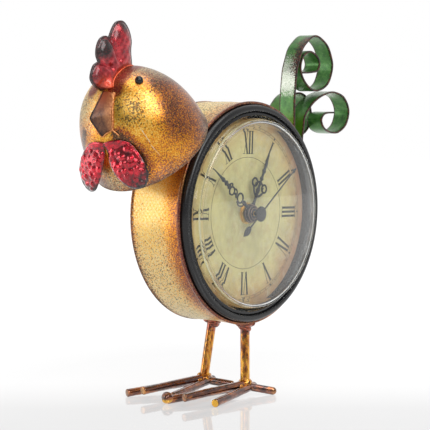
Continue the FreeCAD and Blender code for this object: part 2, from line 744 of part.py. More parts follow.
# tooth phases: the first gear on each arbor stands at FREE, its neighbours are turned into mesh
FREE = 0.0
INTERMEDIATE_PINION_PHASE = meshing_phase(SECOND_WHEEL, FREE, INTERMEDIATE_BEARING, INTERMEDIATE_PINION)
ROTOR_PHASE = meshing_phase(INTERMEDIATE_WHEEL, FREE, ROTOR_BEARING, ROTOR_PINION)
THIRD_WHEEL_PHASE = meshing_phase(SECOND_PINION, FREE, THIRD_BEARING, THIRD_WHEEL)
CENTRE_PHASE = meshing_phase(THIRD_PINION, FREE, THIRD_BEARING + 180, CENTRE_WHEEL)
MOTION_PHASE = meshing_phase(CANNON_PINION, FREE, MOTION_BEARING, MOTION_WHEEL)
HOUR_PHASE = meshing_phase(MOTION_PINION, FREE, MOTION_BEARING + 180, HOUR_WHEEL)
SETTING_PHASE = meshing_phase(MOTION_WHEEL, MOTION_PHASE, SETTING_BEARING, SETTING_PINION)


def second_wheel():
    """Second arbor with its wheel and pinion; it carries the second hand."""
    arbor = disc(ARBOR, SECOND_PLANE_Y, PIVOT_BACK_Y)
    wheel = gear(SECOND_WHEEL, FREE, SECOND_WHEEL_Y)
    pinion = gear(SECOND_PINION, FREE, SECOND_PINION_Y)
    return fuse_all([arbor, wheel, pinion])


def third_wheel():
    """Wheel between the second pinion and the centre wheel."""
    arbor = disc(ARBOR, PIVOT_FRONT_Y, PIVOT_BACK_Y)
    wheel = gear(THIRD_WHEEL, THIRD_WHEEL_PHASE, THIRD_WHEEL_Y)
    pinion = gear(THIRD_PINION, FREE, THIRD_PINION_Y)
    return at(fuse_all([arbor, wheel, pinion]), THIRD_PLACE)


def intermediate_wheel():
    """Wheel between the rotor and the second wheel."""
    arbor = disc(ARBOR, PLATE_Y[0], PIVOT_BACK_Y)
    wheel = gear(INTERMEDIATE_WHEEL, FREE, INTERMEDIATE_WHEEL_Y)
    pinion = gear(INTERMEDIATE_PINION, INTERMEDIATE_PINION_PHASE, INTERMEDIATE_PINION_Y)
    return at(fuse_all([arbor, wheel, pinion]), INTERMEDIATE_PLACE)


def rotor_pinion():
    """Plastic shaft and pinion of the stepping rotor."""
    arbor = disc(ARBOR, PLATE_Y[0], PIVOT_BACK_Y)
    pinion = gear(ROTOR_PINION, ROTOR_PHASE, ROTOR_PINION_Y)
    return at(fuse_all([arbor, pinion]), ROTOR_PLACE)


def rotor_magnet():
    """Ring magnet on the rotor's shaft."""
    return ring(3.0, ARBOR, *ROTOR_MAGNET_Y, ROTOR_PLACE)


def centre_wheel():
    """Wheel that turns once an hour, gripped on the minute arbor by friction."""
    return bore(gear(CENTRE_WHEEL, CENTRE_PHASE, CENTRE_WHEEL_Y), MINUTE_TUBE)


def minute_arbor():
    """Hollow arbor with the cannon pinion; it carries the minute hand."""
    tube = disc(MINUTE_TUBE, MINUTE_PLANE_Y - 1.1, CENTRE_WHEEL_Y[1] + 0.2)
    cannon = gear(CANNON_PINION, FREE, CANNON_PINION_Y)
    return bore(fuse_all([tube, cannon]), ARBOR + RUN)


def motion_wheel():
    """Wheel and pinion that step the cannon pinion down to the hour wheel."""
    wheel = gear(MOTION_WHEEL, MOTION_PHASE, MOTION_WHEEL_Y)
    pinion = gear(MOTION_PINION, FREE, MOTION_PINION_Y)
    return at(bore(fuse_all([wheel, pinion]), MOTION_STUD + RUN), MOTION_PLACE)


def hour_wheel():
    """Wheel and tube that turn once in twelve hours; the tube carries the hour hand."""
    tube = disc(HOUR_TUBE, HOUR_PLANE_Y - 0.7, HOUR_WHEEL_Y[1])
    wheel = gear(HOUR_WHEEL, HOUR_PHASE, HOUR_WHEEL_Y)
    return bore(fuse_all([tube, wheel]), MINUTE_TUBE + RUN)


def setting_knob():
    """Ribbed knob at the back, whose shaft and pinion turn the motion wheel."""
    knob_radius = 5.4
    front, back = CANNON_PINION_Y
    pivot = disc(ARBOR, PIVOT_FRONT_Y, front)
    pinion = gear(SETTING_PINION, SETTING_PHASE, CANNON_PINION_Y)
    shaft = disc(SETTING_SHAFT, back, 3.0)
    knob = disc(knob_radius, 2.4, 7.4)
    grooves = [disc(0.5, 0, FAR, polar(knob_radius + 0.1, 15 * i)) for i in range(24)]
    return at(fuse_all([pivot, pinion, shaft, cut_all(knob, grooves)]), SETTING_PLACE)


# ---------------------------------------------------------------- movement
def movement_housing():
    """Square plastic box with the threaded bushing, gear room above and battery bay below."""
    h = HOUSING_HALF
    inner = h - HOUSING_WALL
    body = box(-h, h, HOUSING_FRONT_Y, HOUSING_REAR_Y, -h, h)
    gear_room = box(-inner, inner, HOUSING_FLOOR_Y, FAR, BAY_TOP_Z + 1.0, inner)
    bay = box(-inner, inner, HOUSING_FLOOR_Y, FAR, -inner, BAY_TOP_Z)
    body = cut_all(body, [gear_room, bay])
    bushing = disc(BUSHING_RADIUS, BUSHING_END_Y, HOUSING_FRONT_Y)
    stud = disc(MOTION_STUD, HOUSING_FLOOR_Y, MOTION_WHEEL_Y[1] + 0.2, MOTION_PLACE)
    body = bore(fuse_all([body, bushing, stud]), HOUR_TUBE + RUN)
    return bore(body, ARBOR + RUN, (THIRD_PLACE, SETTING_PLACE))


def movement_cover():
    """Lid over the gear room, with the back pivot holes."""
    inner = HOUSING_HALF - HOUSING_WALL
    cover = box(-inner, inner, COVER_FRONT_Y, HOUSING_REAR_Y, BAY_TOP_Z + 1.0, inner)
    cover = bore(cover, ARBOR + RUN, (CENTRE, THIRD_PLACE, INTERMEDIATE_PLACE, ROTOR_PLACE))
    return bore(cover, SETTING_SHAFT + RUN, [SETTING_PLACE])


def gear_plate():
    """Inner plate that carries the front pivots of the intermediate wheel and the rotor."""
    inner = HOUSING_HALF - HOUSING_WALL
    plate = box(COIL_X + 4.0, inner, *PLATE_Y, BAY_TOP_Z + 1.0, inner)
    plate = bore(plate, ARBOR + RUN, (CENTRE, INTERMEDIATE_PLACE, ROTOR_PLACE))
    plate = bore(plate, 2.2, [THIRD_PLACE])
    return bore(plate, SETTING_SHAFT + RUN, [SETTING_PLACE])


def stator():
    """Soft-iron plate that leads the coil's field round the rotor."""
    left, middle, right = -26.6, -19.8, -10.4
    low, high = -9.0, 26.0
    bar = box(middle, right, *STATOR_Y, low, high)
    arms = [box(left, right, *STATOR_Y, z, z + STATOR_ARM) for z in (low, high - STATOR_ARM)]
    return bore(fuse_all([bar] + arms), 3.5, [ROTOR_PLACE])


def coil_tube(radius, z0, z1):
    """A cylinder about the coil's upright axis."""
    return Part.makeCylinder(radius, z1 - z0, V(COIL_X, COIL_Y, z0), V(0, 0, 1))


def coil_bobbin():
    """Core and end flanges that the coil is wound on."""
    core = coil_tube(COIL_CORE, COIL_LOW_Z, COIL_HIGH_Z)
    low_flange = coil_tube(3.4, COIL_LOW_Z, COIL_LOW_Z + COIL_FLANGE)
    high_flange = coil_tube(3.4, COIL_HIGH_Z - COIL_FLANGE, COIL_HIGH_Z)
    return fuse_all([core, low_flange, high_flange])


def coil_winding():
    """Copper wire, drawn as one thick sleeve."""
    sleeve = coil_tube(3.2, COIL_LOW_Z + COIL_FLANGE, COIL_HIGH_Z - COIL_FLANGE)
    return sleeve.cut(coil_tube(COIL_CORE, COIL_LOW_Z, COIL_HIGH_Z))


def circuit_board():
    """Small board beside the gears."""
    return box(10.5, 27.0, -3.4, -2.6, 12.5, 26.5)


def quartz_crystal():
    """Crystal can lying on the board."""
    return Part.makeCylinder(1.0, 6.0, V(14.0, -1.6, 17.0), V(1, 0, 0))


def battery_contact(side):
    """Bent brass strip at one end of the battery bay."""
    wall = HOUSING_HALF - HOUSING_WALL
    strip_x = sorted((side * wall, side * (wall - 0.4)))
    pad_x = sorted((side * (wall - 0.4), side * (BATTERY_LENGTH / 2 + 0.1)))
    upright = box(*strip_x, -10.5, 0.8, BATTERY_Z - 4.5, BATTERY_Z + 4.5)
    pad = box(*pad_x, BATTERY_Y - 2.1, BATTERY_Y + 1.9, BATTERY_Z - 2.0, BATTERY_Z + 2.0)
    return upright.fuse(pad)


def battery_cell():
    """Size AA dry cell with its raised pole."""
    pole_height = 1.2
    can_length = BATTERY_LENGTH - pole_height
    start = V(-BATTERY_LENGTH / 2, BATTERY_Y, BATTERY_Z)
    body = Part.makeCylinder(BATTERY_RADIUS, can_length, start, V(1, 0, 0))
    body = body.makeFillet(0.8, [e for e in body.Edges if e.Curve.TypeId == "Part::GeomCircle"])
    pole = Part.makeCylinder(2.7, pole_height, start + V(can_length, 0, 0), V(1, 0, 0))
    return body.fuse(pole)


def rubber_washer():
    """Washer between the movement and the case."""
    return ring(7.5, BUSHING_RADIUS, CASE_BACK_Y, HOUSING_FRONT_Y)


def brass_washer():
    """Washer under the nut, on the dial."""
    return ring(7.3, BUSHING_RADIUS, DIAL_FRONT_Y - 0.4, DIAL_FRONT_Y)


def hex_nut():
    """Nut that holds the movement to the dial."""
    half_flats = 6.2
    thick = 1.8
    front = DIAL_FRONT_Y - 0.4 - thick
    corners = [polar(half_flats / math.cos(math.radians(30)), 30 + 60 * i) for i in range(6)]
    block = flat_face([(p.x, p.z) for p in corners], front).extrude(V(0, thick, 0))
    return bore(block, BUSHING_RADIUS)


# ---------------------------------------------------------------- hands
def blade(stations, y):
    """A flat hand part from (distance, half width) stations along +Z."""
    right = [(w, d) for d, w in stations]
    left = [(-w, d) for d, w in reversed(stations)]
    return flat_face(right + left, y).extrude(V(0, HAND_THICK, 0))


def loop(x, z, outer, inner, y):
    """An open round scroll of a hand."""
    return ring(outer, inner, y, y + HAND_THICK, V(x, 0, z))


def hour_hand():
    """Serpentine hour hand: a stem, a pair of open scrolls and a long point."""
    y = HOUR_PLANE_Y - HAND_THICK / 2
    stem = [(4, 2.2), (10, 1.5), (13, 2.4), (17, 1.3), (23, 2.0)]
    point = [(26, 1.0), (30, 2.3), (35, 0.9), (HOUR_LENGTH, 0.35)]
    parts = [
        disc(6.2, y, y + HAND_THICK),
        blade(stem + point, y),
        loop(-4.6, 17.8, 3.6, 2.3, y),
        loop(4.6, 17.8, 3.6, 2.3, y),
        loop(0, 25.2, 2.3, 1.1, y),
        disc(3.6, y - 0.4, y + 0.9),
    ]
    return clockwise(bore(fuse_all(parts), HOUR_TUBE), HOUR_ANGLE)


def minute_hand():
    """Serpentine minute hand: open loops on alternate sides and a long point."""
    y = MINUTE_PLANE_Y - HAND_THICK / 2
    parts = [
        disc(5.8, y, y + HAND_THICK),
        blade([(4, 2.0), (10, 1.2), (20, 1.1), (30, 1.1), (33, 1.9), (38, 0.8), (MINUTE_LENGTH, 0.3)], y),
        loop(3.0, 13.5, 3.3, 2.2, y),
        loop(-3.0, 19.5, 3.1, 2.0, y),
        loop(2.6, 25.2, 2.7, 1.7, y),
        loop(-2.2, 30.0, 2.2, 1.2, y),
        disc(3.2, y - 0.4, y + 0.7),
    ]
    return clockwise(bore(fuse_all(parts), MINUTE_TUBE), MINUTE_ANGLE)


def second_hand():
    """Thin second hand with a cap, a small spade point and a leaf counterweight."""
    y = SECOND_PLANE_Y - HAND_THICK / 2
    tail = [(-SECOND_TAIL, 0.3), (-19.5, 2.3), (-16, 2.4), (-12.5, 0.6), (0, 0.6)]
    point = [(0, 0.6), (44.5, 0.45), (46.3, 1.7), (SECOND_LENGTH, 0.3)]
    tube = disc(1.3, y, MINUTE_PLANE_Y - 1.6)
    cap = disc(5.2, y - 0.6, y)
    parts = [blade(tail, y), blade(point, y), tube, cap]
    return clockwise(fuse_all(parts).cut(disc(ARBOR, SECOND_PLANE_Y, -10)), SECOND_ANGLE)


# ---------------------------------------------------------------- assembly
def save_figure():
    """The rooster itself: drum, head, tail, legs and toes."""
    outer = head_solid(0)
    plate = head_back_plate()
    beak_shape = beak(outer)
    save("drum_shell", drum_shell())
    save("rear_panel", rear_panel())
    save("head_shell", head_shell(outer))
    save("head_back_plate", plate)
    save("neck_tube", neck_tube(plate))
    save("beak", beak_shape)
    for side, word in ((-1, "right"), (1, "left")):
        save("eye_" + word, eye(side, outer))
        save("comb_" + word + "_half", comb_half(side, outer).cut(beak_shape))
        save("wattle_" + word, wattle(side, outer, beak_shape))
        leg_shape, ankle = leg(side)
        save("leg_" + word, leg_shape)
        for toe_name, toe in foot(ankle, leg_shape).items():
            save("toe_" + word + "_" + toe_name, toe)
    for name, curl in zip(("large", "small", "rear"), tail_curls()):
        save("tail_curl_" + name, curl)


def save_clock():
    """The clock insert, which sits a little turned in the drum, and its hands."""
    turned_parts = {
        "bezel_ring": bezel_ring(),
        "lens": lens(),
        "insert_gasket": insert_gasket(),
        "dial_disc": dial_disc(),
        "insert_case": insert_case(),
        "case_screws": case_screws(),
        "movement_housing": movement_housing(),
        "movement_cover": movement_cover(),
        "gear_plate": gear_plate(),
        "stator": stator(),
        "coil_bobbin": coil_bobbin(),
        "coil_winding": coil_winding(),
        "circuit_board": circuit_board(),
        "quartz_crystal": quartz_crystal(),
        "battery_contact_positive": battery_contact(1),
        "battery_contact_negative": battery_contact(-1),
        "battery_cell": battery_cell(),
        "rubber_washer": rubber_washer(),
        "brass_washer": brass_washer(),
        "hex_nut": hex_nut(),
        "rotor_magnet": rotor_magnet(),
        "rotor_pinion": rotor_pinion(),
        "intermediate_wheel": intermediate_wheel(),
        "second_wheel": second_wheel(),
        "third_wheel": third_wheel(),
        "centre_wheel": centre_wheel(),
        "minute_arbor": minute_arbor(),
        "motion_wheel": motion_wheel(),
        "hour_wheel": hour_wheel(),
        "setting_knob": setting_knob(),
    }
    for name, shape in turned_parts.items():
        save(name, clockwise(shape, CLOCK_TURN))
    save("hour_hand", hour_hand())
    save("minute_hand", minute_hand())
    save("second_hand", second_hand())


os.makedirs("parts", exist_ok=True)
save_figure()
save_clock()
print(len(SAVED), "sub-parts written")
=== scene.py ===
"""Looks of the rooster desk clock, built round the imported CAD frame. Blender 4.5, metres.

Lengths below are written in millimetres from the drum's centre and turned into metres by point().
X runs from beak (-X) to tail (+X), the dial faces -Y, Z is up.
"""

import json
import math

import bmesh
import bpy
import numpy as np
from mathutils import Matrix, Vector
from mathutils.geometry import delaunay_2d_cdt

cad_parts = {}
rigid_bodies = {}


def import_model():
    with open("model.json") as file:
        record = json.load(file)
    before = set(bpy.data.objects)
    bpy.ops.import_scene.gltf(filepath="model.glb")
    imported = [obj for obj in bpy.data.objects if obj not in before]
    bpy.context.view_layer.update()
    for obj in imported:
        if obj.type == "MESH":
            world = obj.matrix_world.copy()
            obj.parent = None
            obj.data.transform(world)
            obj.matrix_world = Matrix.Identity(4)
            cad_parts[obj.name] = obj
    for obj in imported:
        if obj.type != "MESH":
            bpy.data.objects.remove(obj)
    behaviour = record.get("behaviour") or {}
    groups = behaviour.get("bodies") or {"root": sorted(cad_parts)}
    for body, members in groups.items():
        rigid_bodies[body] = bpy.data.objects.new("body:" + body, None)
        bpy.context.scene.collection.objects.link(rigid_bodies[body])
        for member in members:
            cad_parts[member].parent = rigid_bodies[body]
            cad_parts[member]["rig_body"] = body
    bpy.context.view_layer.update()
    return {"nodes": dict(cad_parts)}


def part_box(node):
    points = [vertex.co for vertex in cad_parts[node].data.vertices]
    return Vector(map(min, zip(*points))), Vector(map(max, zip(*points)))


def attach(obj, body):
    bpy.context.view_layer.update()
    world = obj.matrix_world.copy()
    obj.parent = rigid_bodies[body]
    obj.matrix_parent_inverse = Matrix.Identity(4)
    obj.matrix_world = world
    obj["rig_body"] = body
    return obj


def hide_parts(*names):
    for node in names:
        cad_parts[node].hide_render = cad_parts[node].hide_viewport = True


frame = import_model()
NODES = frame["nodes"]
MM = 0.001

drum_low, drum_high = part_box("drum_shell")
CENTRE = (drum_low + drum_high) / 2
FLOOR_Z = -CENTRE.z / MM
LATHE_MERGE = 0.005

# ------------------------------------------------------------------ driving sizes, mm
DRUM_RADIUS = 75.0
DRUM_HALF = (drum_high.y - drum_low.y) / 2 / MM
SHEET = 1.0
THIN = 0.8
HEM = 1.1

HEAD_CENTRE = np.array([-78.0, 0.0, 45.6])
HEAD_TILT = math.radians(49.5)
HEAD_AXIS = np.array([-math.cos(HEAD_TILT), 0.0, math.sin(HEAD_TILT)])
HEAD_RADIUS = 40.0
HEAD_LENGTH = 58.8
HEAD_POWER = 2.16

FACE_ROLL = math.radians(8.0)
WATTLE_ROOT = np.array([-120.8, 3.8, 52.4])
WATTLE_TIP = np.array([-116.2, 21.3, 22.1])
WATTLE_TWIST = math.radians(10.6)
WATTLE_STANDOFF = 6.0
WATTLE_BULGE_RADIUS = 34.0
STRIP_WIDTH = 13.6
STRIP_THICK = 1.3
LEG_RADIUS = 3.25
TOE_RADIUS = 2.6

BEZEL_RADIUS = 73.3
LENS_RADIUS = 66.0
DIAL_FRONT = -16.0
CLOCK_TURN = 2.5
HOUR_PLANE = -19.6
MINUTE_PLANE = -21.8
SECOND_PLANE = -28.4
HOUR_ANGLE = 28.1
MINUTE_ANGLE = 307.4
SECOND_ANGLE = 53.5


def point(p):
    """Drum coordinates in mm to the row frame in metres."""
    return CENTRE + Vector((float(p[0]), float(p[1]), float(p[2]))) * MM


# ------------------------------------------------------------------ mesh helpers
def make_object(name, vertices, faces, attributes=None, smooth=True):
    """Object from drum-coordinate vertices in mm, with optional per-vertex floats."""
    mesh = bpy.data.meshes.new(name)
    mesh.from_pydata([tuple(point(v)) for v in vertices], [], faces)
    for key, values in (attributes or {}).items():
        layer = mesh.attributes.new(key, "FLOAT", "POINT")
        layer.data.foreach_set("value", np.asarray(values, np.float32))
    mesh.validate()
    mesh.polygons.foreach_set("use_smooth", [smooth] * len(mesh.polygons))
    piece = bpy.data.objects.new(name, mesh)
    bpy.context.scene.collection.objects.link(piece)
    return piece


def fix_normals(piece, merge=0.0):
    """Outward normals, with doubled points merged within merge mm."""
    work = bmesh.new()
    work.from_mesh(piece.data)
    if merge:
        bmesh.ops.remove_doubles(work, verts=work.verts, dist=merge * MM)
    bmesh.ops.recalc_face_normals(work, faces=work.faces)
    work.to_mesh(piece.data)
    work.free()
    return piece


def add_modifier(piece, kind, **settings):
    modifier = piece.modifiers.new(kind.lower(), kind)
    for key, value in settings.items():
        setattr(modifier, key, value)


def place(piece, node, material, sharp=None):
    """Gives a piece its material and its body, and hides the CAD node it stands for."""
    piece.data.materials.clear()
    piece.data.materials.append(material)
    if sharp:
        piece.data.set_sharp_from_angle(angle=math.radians(sharp))
    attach(piece, NODES[node]["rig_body"])
    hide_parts(node)
    return piece


def add_detail(piece, body, material):
    """A further piece that stands for no CAD node of its own."""
    piece.data.materials.clear()
    piece.data.materials.append(material)
    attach(piece, body)
    return piece


def smooth_curve(points, per_span=8):
    """Catmull-Rom curve through the points, as an array."""
    p = np.array(points, float)
    ends = np.vstack([2 * p[0] - p[1], p, 2 * p[-1] - p[-2]])
    rows = []
    for i in range(1, len(ends) - 2):
        a, b, c, d = ends[i - 1:i + 3]
        for k in range(per_span):
            t = k / per_span
            rows.append(0.5 * (2 * b + (c - a) * t + (2 * a - 5 * b + 4 * c - d) * t ** 2
                               + (3 * b - a - 3 * c + d) * t ** 3))
    rows.append(p[-1])
    return np.array(rows)


def basis(axis):
    """Two unit vectors at right angles to axis and to each other."""
    a = np.array(axis, float) / np.linalg.norm(axis)
    first = np.cross(a, [0.0, 1.0, 0.0])
    if np.linalg.norm(first) < 0.1:
        first = np.cross([1.0, 0.0, 0.0], a)
    first /= np.linalg.norm(first)
    return first, np.cross(a, first)


def lathe(name, profile, centre=(0, 0, 0), axis=(0, 1, 0), segments=192, ripple=None):
    """Turns a closed (radius, height) outline about an axis through centre."""
    a = np.array(axis, float) / np.linalg.norm(axis)
    u, w = basis(a)
    vertices = []
    for i in range(segments):
        turn = 2 * math.pi * i / segments
        for radius, height in profile:
            r = radius + (ripple(turn, height) if ripple and radius > 0.5 else 0)
            vertices.append(np.array(centre) + a * height + (u * math.cos(turn) + w * math.sin(turn)) * r)
    count = len(profile)
    faces = []
    for i in range(segments):
        j = (i + 1) % segments
        for k in range(count):
            m = (k + 1) % count
            if profile[k][0] < 1e-6 and profile[m][0] < 1e-6:
                continue
            faces.append((i * count + k, i * count + m, j * count + m, j * count + k))
    return fix_normals(make_object(name, vertices, faces), LATHE_MERGE)


def outline_sheet(name, outline, spacing, shape, attributes):
    """Fills a flat closed outline with an even triangle net, then shape() lifts it into space."""
    edge = np.array(outline, float)
    low = edge.min(0)
    high = edge.max(0)
    rng = np.random.default_rng(7)
    inside = []
    row = 0
    z = low[1]
    while z < high[1]:
        x = low[0] + (spacing / 2 if row % 2 else 0)
        while x < high[0]:
            inside.append((x, z))
            x += spacing
        z += spacing * 0.866
        row += 1
    inside = np.array(inside) + rng.normal(0, spacing * 0.04, (len(inside), 2))
    keep = inside[polygon_distance(inside, edge) > spacing * 0.45]
    flat = [Vector(p) for p in np.vstack([edge, keep])]
    loop = [(i, (i + 1) % len(edge)) for i in range(len(edge))]
    verts, _, faces, _, _, _ = delaunay_2d_cdt(flat, loop, [], 1, 1e-5)
    flat_points = np.array([tuple(v) for v in verts])
    placed = shape(flat_points)
    values = {key: rule(flat_points) for key, rule in attributes.items()}
    return make_object(name, placed, [tuple(f) for f in faces], values)


def polygon_distance(points, edge, closed=True):
    """Distance to an outline, positive inside it when it is closed."""
    best = np.full(len(points), 1e9)
    inside = np.zeros(len(points), bool)
    last = len(edge) if closed else len(edge) - 1
    for i in range(last):
        a = edge[i]
        b = edge[(i + 1) % len(edge)]
        ab = b - a
        t = np.clip(((points - a) @ ab) / max(ab @ ab, 1e-12), 0, 1)
        best = np.minimum(best, np.linalg.norm(points - (a + t[:, None] * ab), axis=1))
        if closed:
            crosses = (a[1] > points[:, 1]) != (b[1] > points[:, 1])
            rise = b[1] - a[1]
            at_x = a[0] + ab[0] * (points[:, 1] - a[1]) / (rise if abs(rise) > 1e-12 else 1e-12)
            inside ^= crosses & (points[:, 0] < at_x)
    return np.where(inside, best, -best) if closed else best


def tube(name, path, radius, sides=16, radii=None):
    """Round bar along a path of points in mm."""
    p = np.array(path, float)
    vertices = []
    tangent = np.gradient(p, axis=0)
    u, _ = basis(tangent[0])
    for i in range(len(p)):
        t = tangent[i] / np.linalg.norm(tangent[i])
        u = u - t * (u @ t)
        u /= np.linalg.norm(u)
        w = np.cross(t, u)
        r = radii[i] if radii is not None else radius
        for k in range(sides):
            turn = 2 * math.pi * k / sides
            vertices.append(p[i] + (u * math.cos(turn) + w * math.sin(turn)) * r)
    faces = []
    for i in range(len(p) - 1):
        for k in range(sides):
            m = (k + 1) % sides
            faces.append((i * sides + k, i * sides + m, (i + 1) * sides + m, (i + 1) * sides + k))
    faces.append(tuple(range(sides)))
    faces.append(tuple((len(p) - 1) * sides + k for k in range(sides)))
    return fix_normals(make_object(name, vertices, faces))


def join(name, pieces):
    """Joins mesh objects into one."""
    bpy.context.view_layer.update()
    work = bmesh.new()
    for piece in pieces:
        piece.data.transform(piece.matrix_world)
        work.from_mesh(piece.data)
        bpy.data.objects.remove(piece)
    mesh = bpy.data.meshes.new(name)
    work.to_mesh(mesh)
    work.free()
    mesh.polygons.foreach_set("use_smooth", [True] * len(mesh.polygons))
    joined = bpy.data.objects.new(name, mesh)
    bpy.context.scene.collection.objects.link(joined)
    return joined


def apply_modifiers(piece):
    """Replaces the mesh by its evaluated one."""
    graph = bpy.context.evaluated_depsgraph_get()
    graph.update()
    mesh = bpy.data.meshes.new_from_object(piece.evaluated_get(graph))
    piece.modifiers.clear()
    piece.data = mesh
    return piece


# ------------------------------------------------------------------ node helpers
class Shader:
    """A material whose nodes are added by short calls; coordinates are in mm."""

    def __init__(self, name):
        self.material = bpy.data.materials.new(name)
        self.material.use_nodes = True
        self.tree = self.material.node_tree
        self.tree.nodes.clear()
        self.output = self.tree.nodes.new("ShaderNodeOutputMaterial")
        self.bsdf = self.tree.nodes.new("ShaderNodeBsdfPrincipled")
        self.link(self.bsdf.outputs[0], self.output.inputs["Surface"])
        coordinates = self.tree.nodes.new("ShaderNodeTexCoord")
        scale = self.tree.nodes.new("ShaderNodeVectorMath")
        scale.operation = "SCALE"
        scale.inputs["Scale"].default_value = 1 / MM
        self.link(coordinates.outputs["Object"], scale.inputs[0])
        self.mm = scale.outputs[0]

    def link(self, source, target):
        self.tree.links.new(source, target)

    def feed(self, target, value):
        if isinstance(value, bpy.types.NodeSocket):
            self.link(value, target)
        elif isinstance(value, (tuple, list)) and len(value) == 3 and target.type == "RGBA":
            target.default_value = (*value, 1.0)
        else:
            target.default_value = value

    def math(self, operation, a, b=0.0, clamp=False):
        node = self.tree.nodes.new("ShaderNodeMath")
        node.operation = operation
        node.use_clamp = clamp
        self.feed(node.inputs[0], a)
        self.feed(node.inputs[1], b)
        return node.outputs[0]

    def noise(self, scale, detail=4.0, rough=0.55, vector=None, distortion=0.0):
        node = self.tree.nodes.new("ShaderNodeTexNoise")
        node.inputs["Scale"].default_value = scale
        node.inputs["Detail"].default_value = detail
        node.inputs["Roughness"].default_value = rough
        node.inputs["Distortion"].default_value = distortion
        self.link(vector or self.mm, node.inputs["Vector"])
        return node.outputs["Fac"]

    def cell_edge(self, scale):
        """Distance to the edge of random cells."""
        node = self.tree.nodes.new("ShaderNodeTexVoronoi")
        node.feature = "DISTANCE_TO_EDGE"
        node.inputs["Scale"].default_value = scale
        self.link(self.mm, node.inputs["Vector"])
        return node.outputs["Distance"]

    def stretch(self, x, y, z):
        """mm coordinates scaled by a different factor on each axis."""
        node = self.tree.nodes.new("ShaderNodeVectorMath")
        node.operation = "MULTIPLY"
        self.link(self.mm, node.inputs[0])
        node.inputs[1].default_value = (x, y, z)
        return node.outputs[0]

    def vector(self, operation, a, b=(0.0, 0.0, 0.0), factor=1.0):
        node = self.tree.nodes.new("ShaderNodeVectorMath")
        node.operation = operation
        self.feed(node.inputs[0], a)
        self.feed(node.inputs[1], b)
        self.feed(node.inputs[3], factor)
        return node.outputs["Value"] if operation in ("DOT_PRODUCT", "LENGTH") else node.outputs[0]

    def line_distance(self, start, end):
        """Distance in mm from a straight line between two drum-coordinate points."""
        a = point(start) / MM
        span = point(end) / MM - a
        away = self.vector("SUBTRACT", self.mm, tuple(a))
        along = self.vector("DOT_PRODUCT", away, tuple(span))
        share = self.math("DIVIDE", along, span.length_squared, clamp=True)
        foot = self.vector("SCALE", tuple(span), factor=share)
        return self.vector("LENGTH", self.vector("SUBTRACT", away, foot))

    def axis(self, name):
        node = self.tree.nodes.new("ShaderNodeSeparateXYZ")
        self.link(self.mm, node.inputs[0])
        return node.outputs[name]

    def attribute(self, name):
        node = self.tree.nodes.new("ShaderNodeAttribute")
        node.attribute_name = name
        return node.outputs["Fac"]

    def ramp(self, fac, stops):
        """Colour ramp from (position, colour) stops; a number stands for a grey."""
        node = self.tree.nodes.new("ShaderNodeValToRGB")
        elements = node.color_ramp.elements
        while len(elements) > 1:
            elements.remove(elements[-1])
        for i, (position, colour) in enumerate(stops):
            element = elements[0] if i == 0 else elements.new(position)
            element.position = position
            value = (colour,) * 3 if isinstance(colour, (int, float)) else colour
            element.color = (*value, 1.0)
        self.feed(node.inputs[0], fac)
        return node.outputs[0]

    def mix(self, fac, a, b):
        node = self.tree.nodes.new("ShaderNodeMix")
        node.data_type = "RGBA"
        node.clamp_factor = True
        self.feed(node.inputs[0], fac)
        self.feed(node.inputs[6], a)
        self.feed(node.inputs[7], b)
        return node.outputs[2]

    def bump(self, height, strength, distance_mm, normal=None):
        node = self.tree.nodes.new("ShaderNodeBump")
        node.inputs["Strength"].default_value = strength
        node.inputs["Distance"].default_value = distance_mm * MM
        self.feed(node.inputs["Height"], height)
        if normal:
            self.link(normal, node.inputs["Normal"])
        return node.outputs[0]

    def set(self, **values):
        names = {"color": "Base Color", "metallic": "Metallic", "roughness": "Roughness", "normal": "Normal",
                 "coat": "Coat Weight", "coat_roughness": "Coat Roughness", "specular": "Specular IOR Level",
                 "ior": "IOR", "transmission": "Transmission Weight"}
        for key, value in values.items():
            self.feed(self.bsdf.inputs[names[key]], value)


# ------------------------------------------------------------------ materials
def speckled_fac(s, fac, grain_size, grain_amount, blotch_amount):
    """Breaks an even 0..1 field into the grainy edge of sponged and sprayed lacquer."""
    grain = s.ramp(s.noise(1 / grain_size, 2.0, 0.6), [(0.36, 0.0), (0.64, 1.0)])
    blotch = s.noise(0.09, 4.0, 0.6)
    a = s.math("MULTIPLY", s.math("SUBTRACT", grain, 0.5), grain_amount)
    b = s.math("MULTIPLY", s.math("SUBTRACT", blotch, 0.5), blotch_amount)
    return s.math("ADD", s.math("ADD", fac, a), b, clamp=True)


SCRATCHES = [
    ((-119.5, -24, 65), (-111.5, -29.5, 51)), ((-119.0, -25, 62), (-112.5, -29.5, 49)),
    ((-111.5, -29.5, 50), (-104, -32, 42)), ((-122, -12, 74), (-121, -17, 71)),
    ((-105, -33, 60), (-101, -34.5, 63)), ((-75, 8, -3), (-75, 2, -9)), ((-75, 12, 4), (-75, 4, 6)),
]


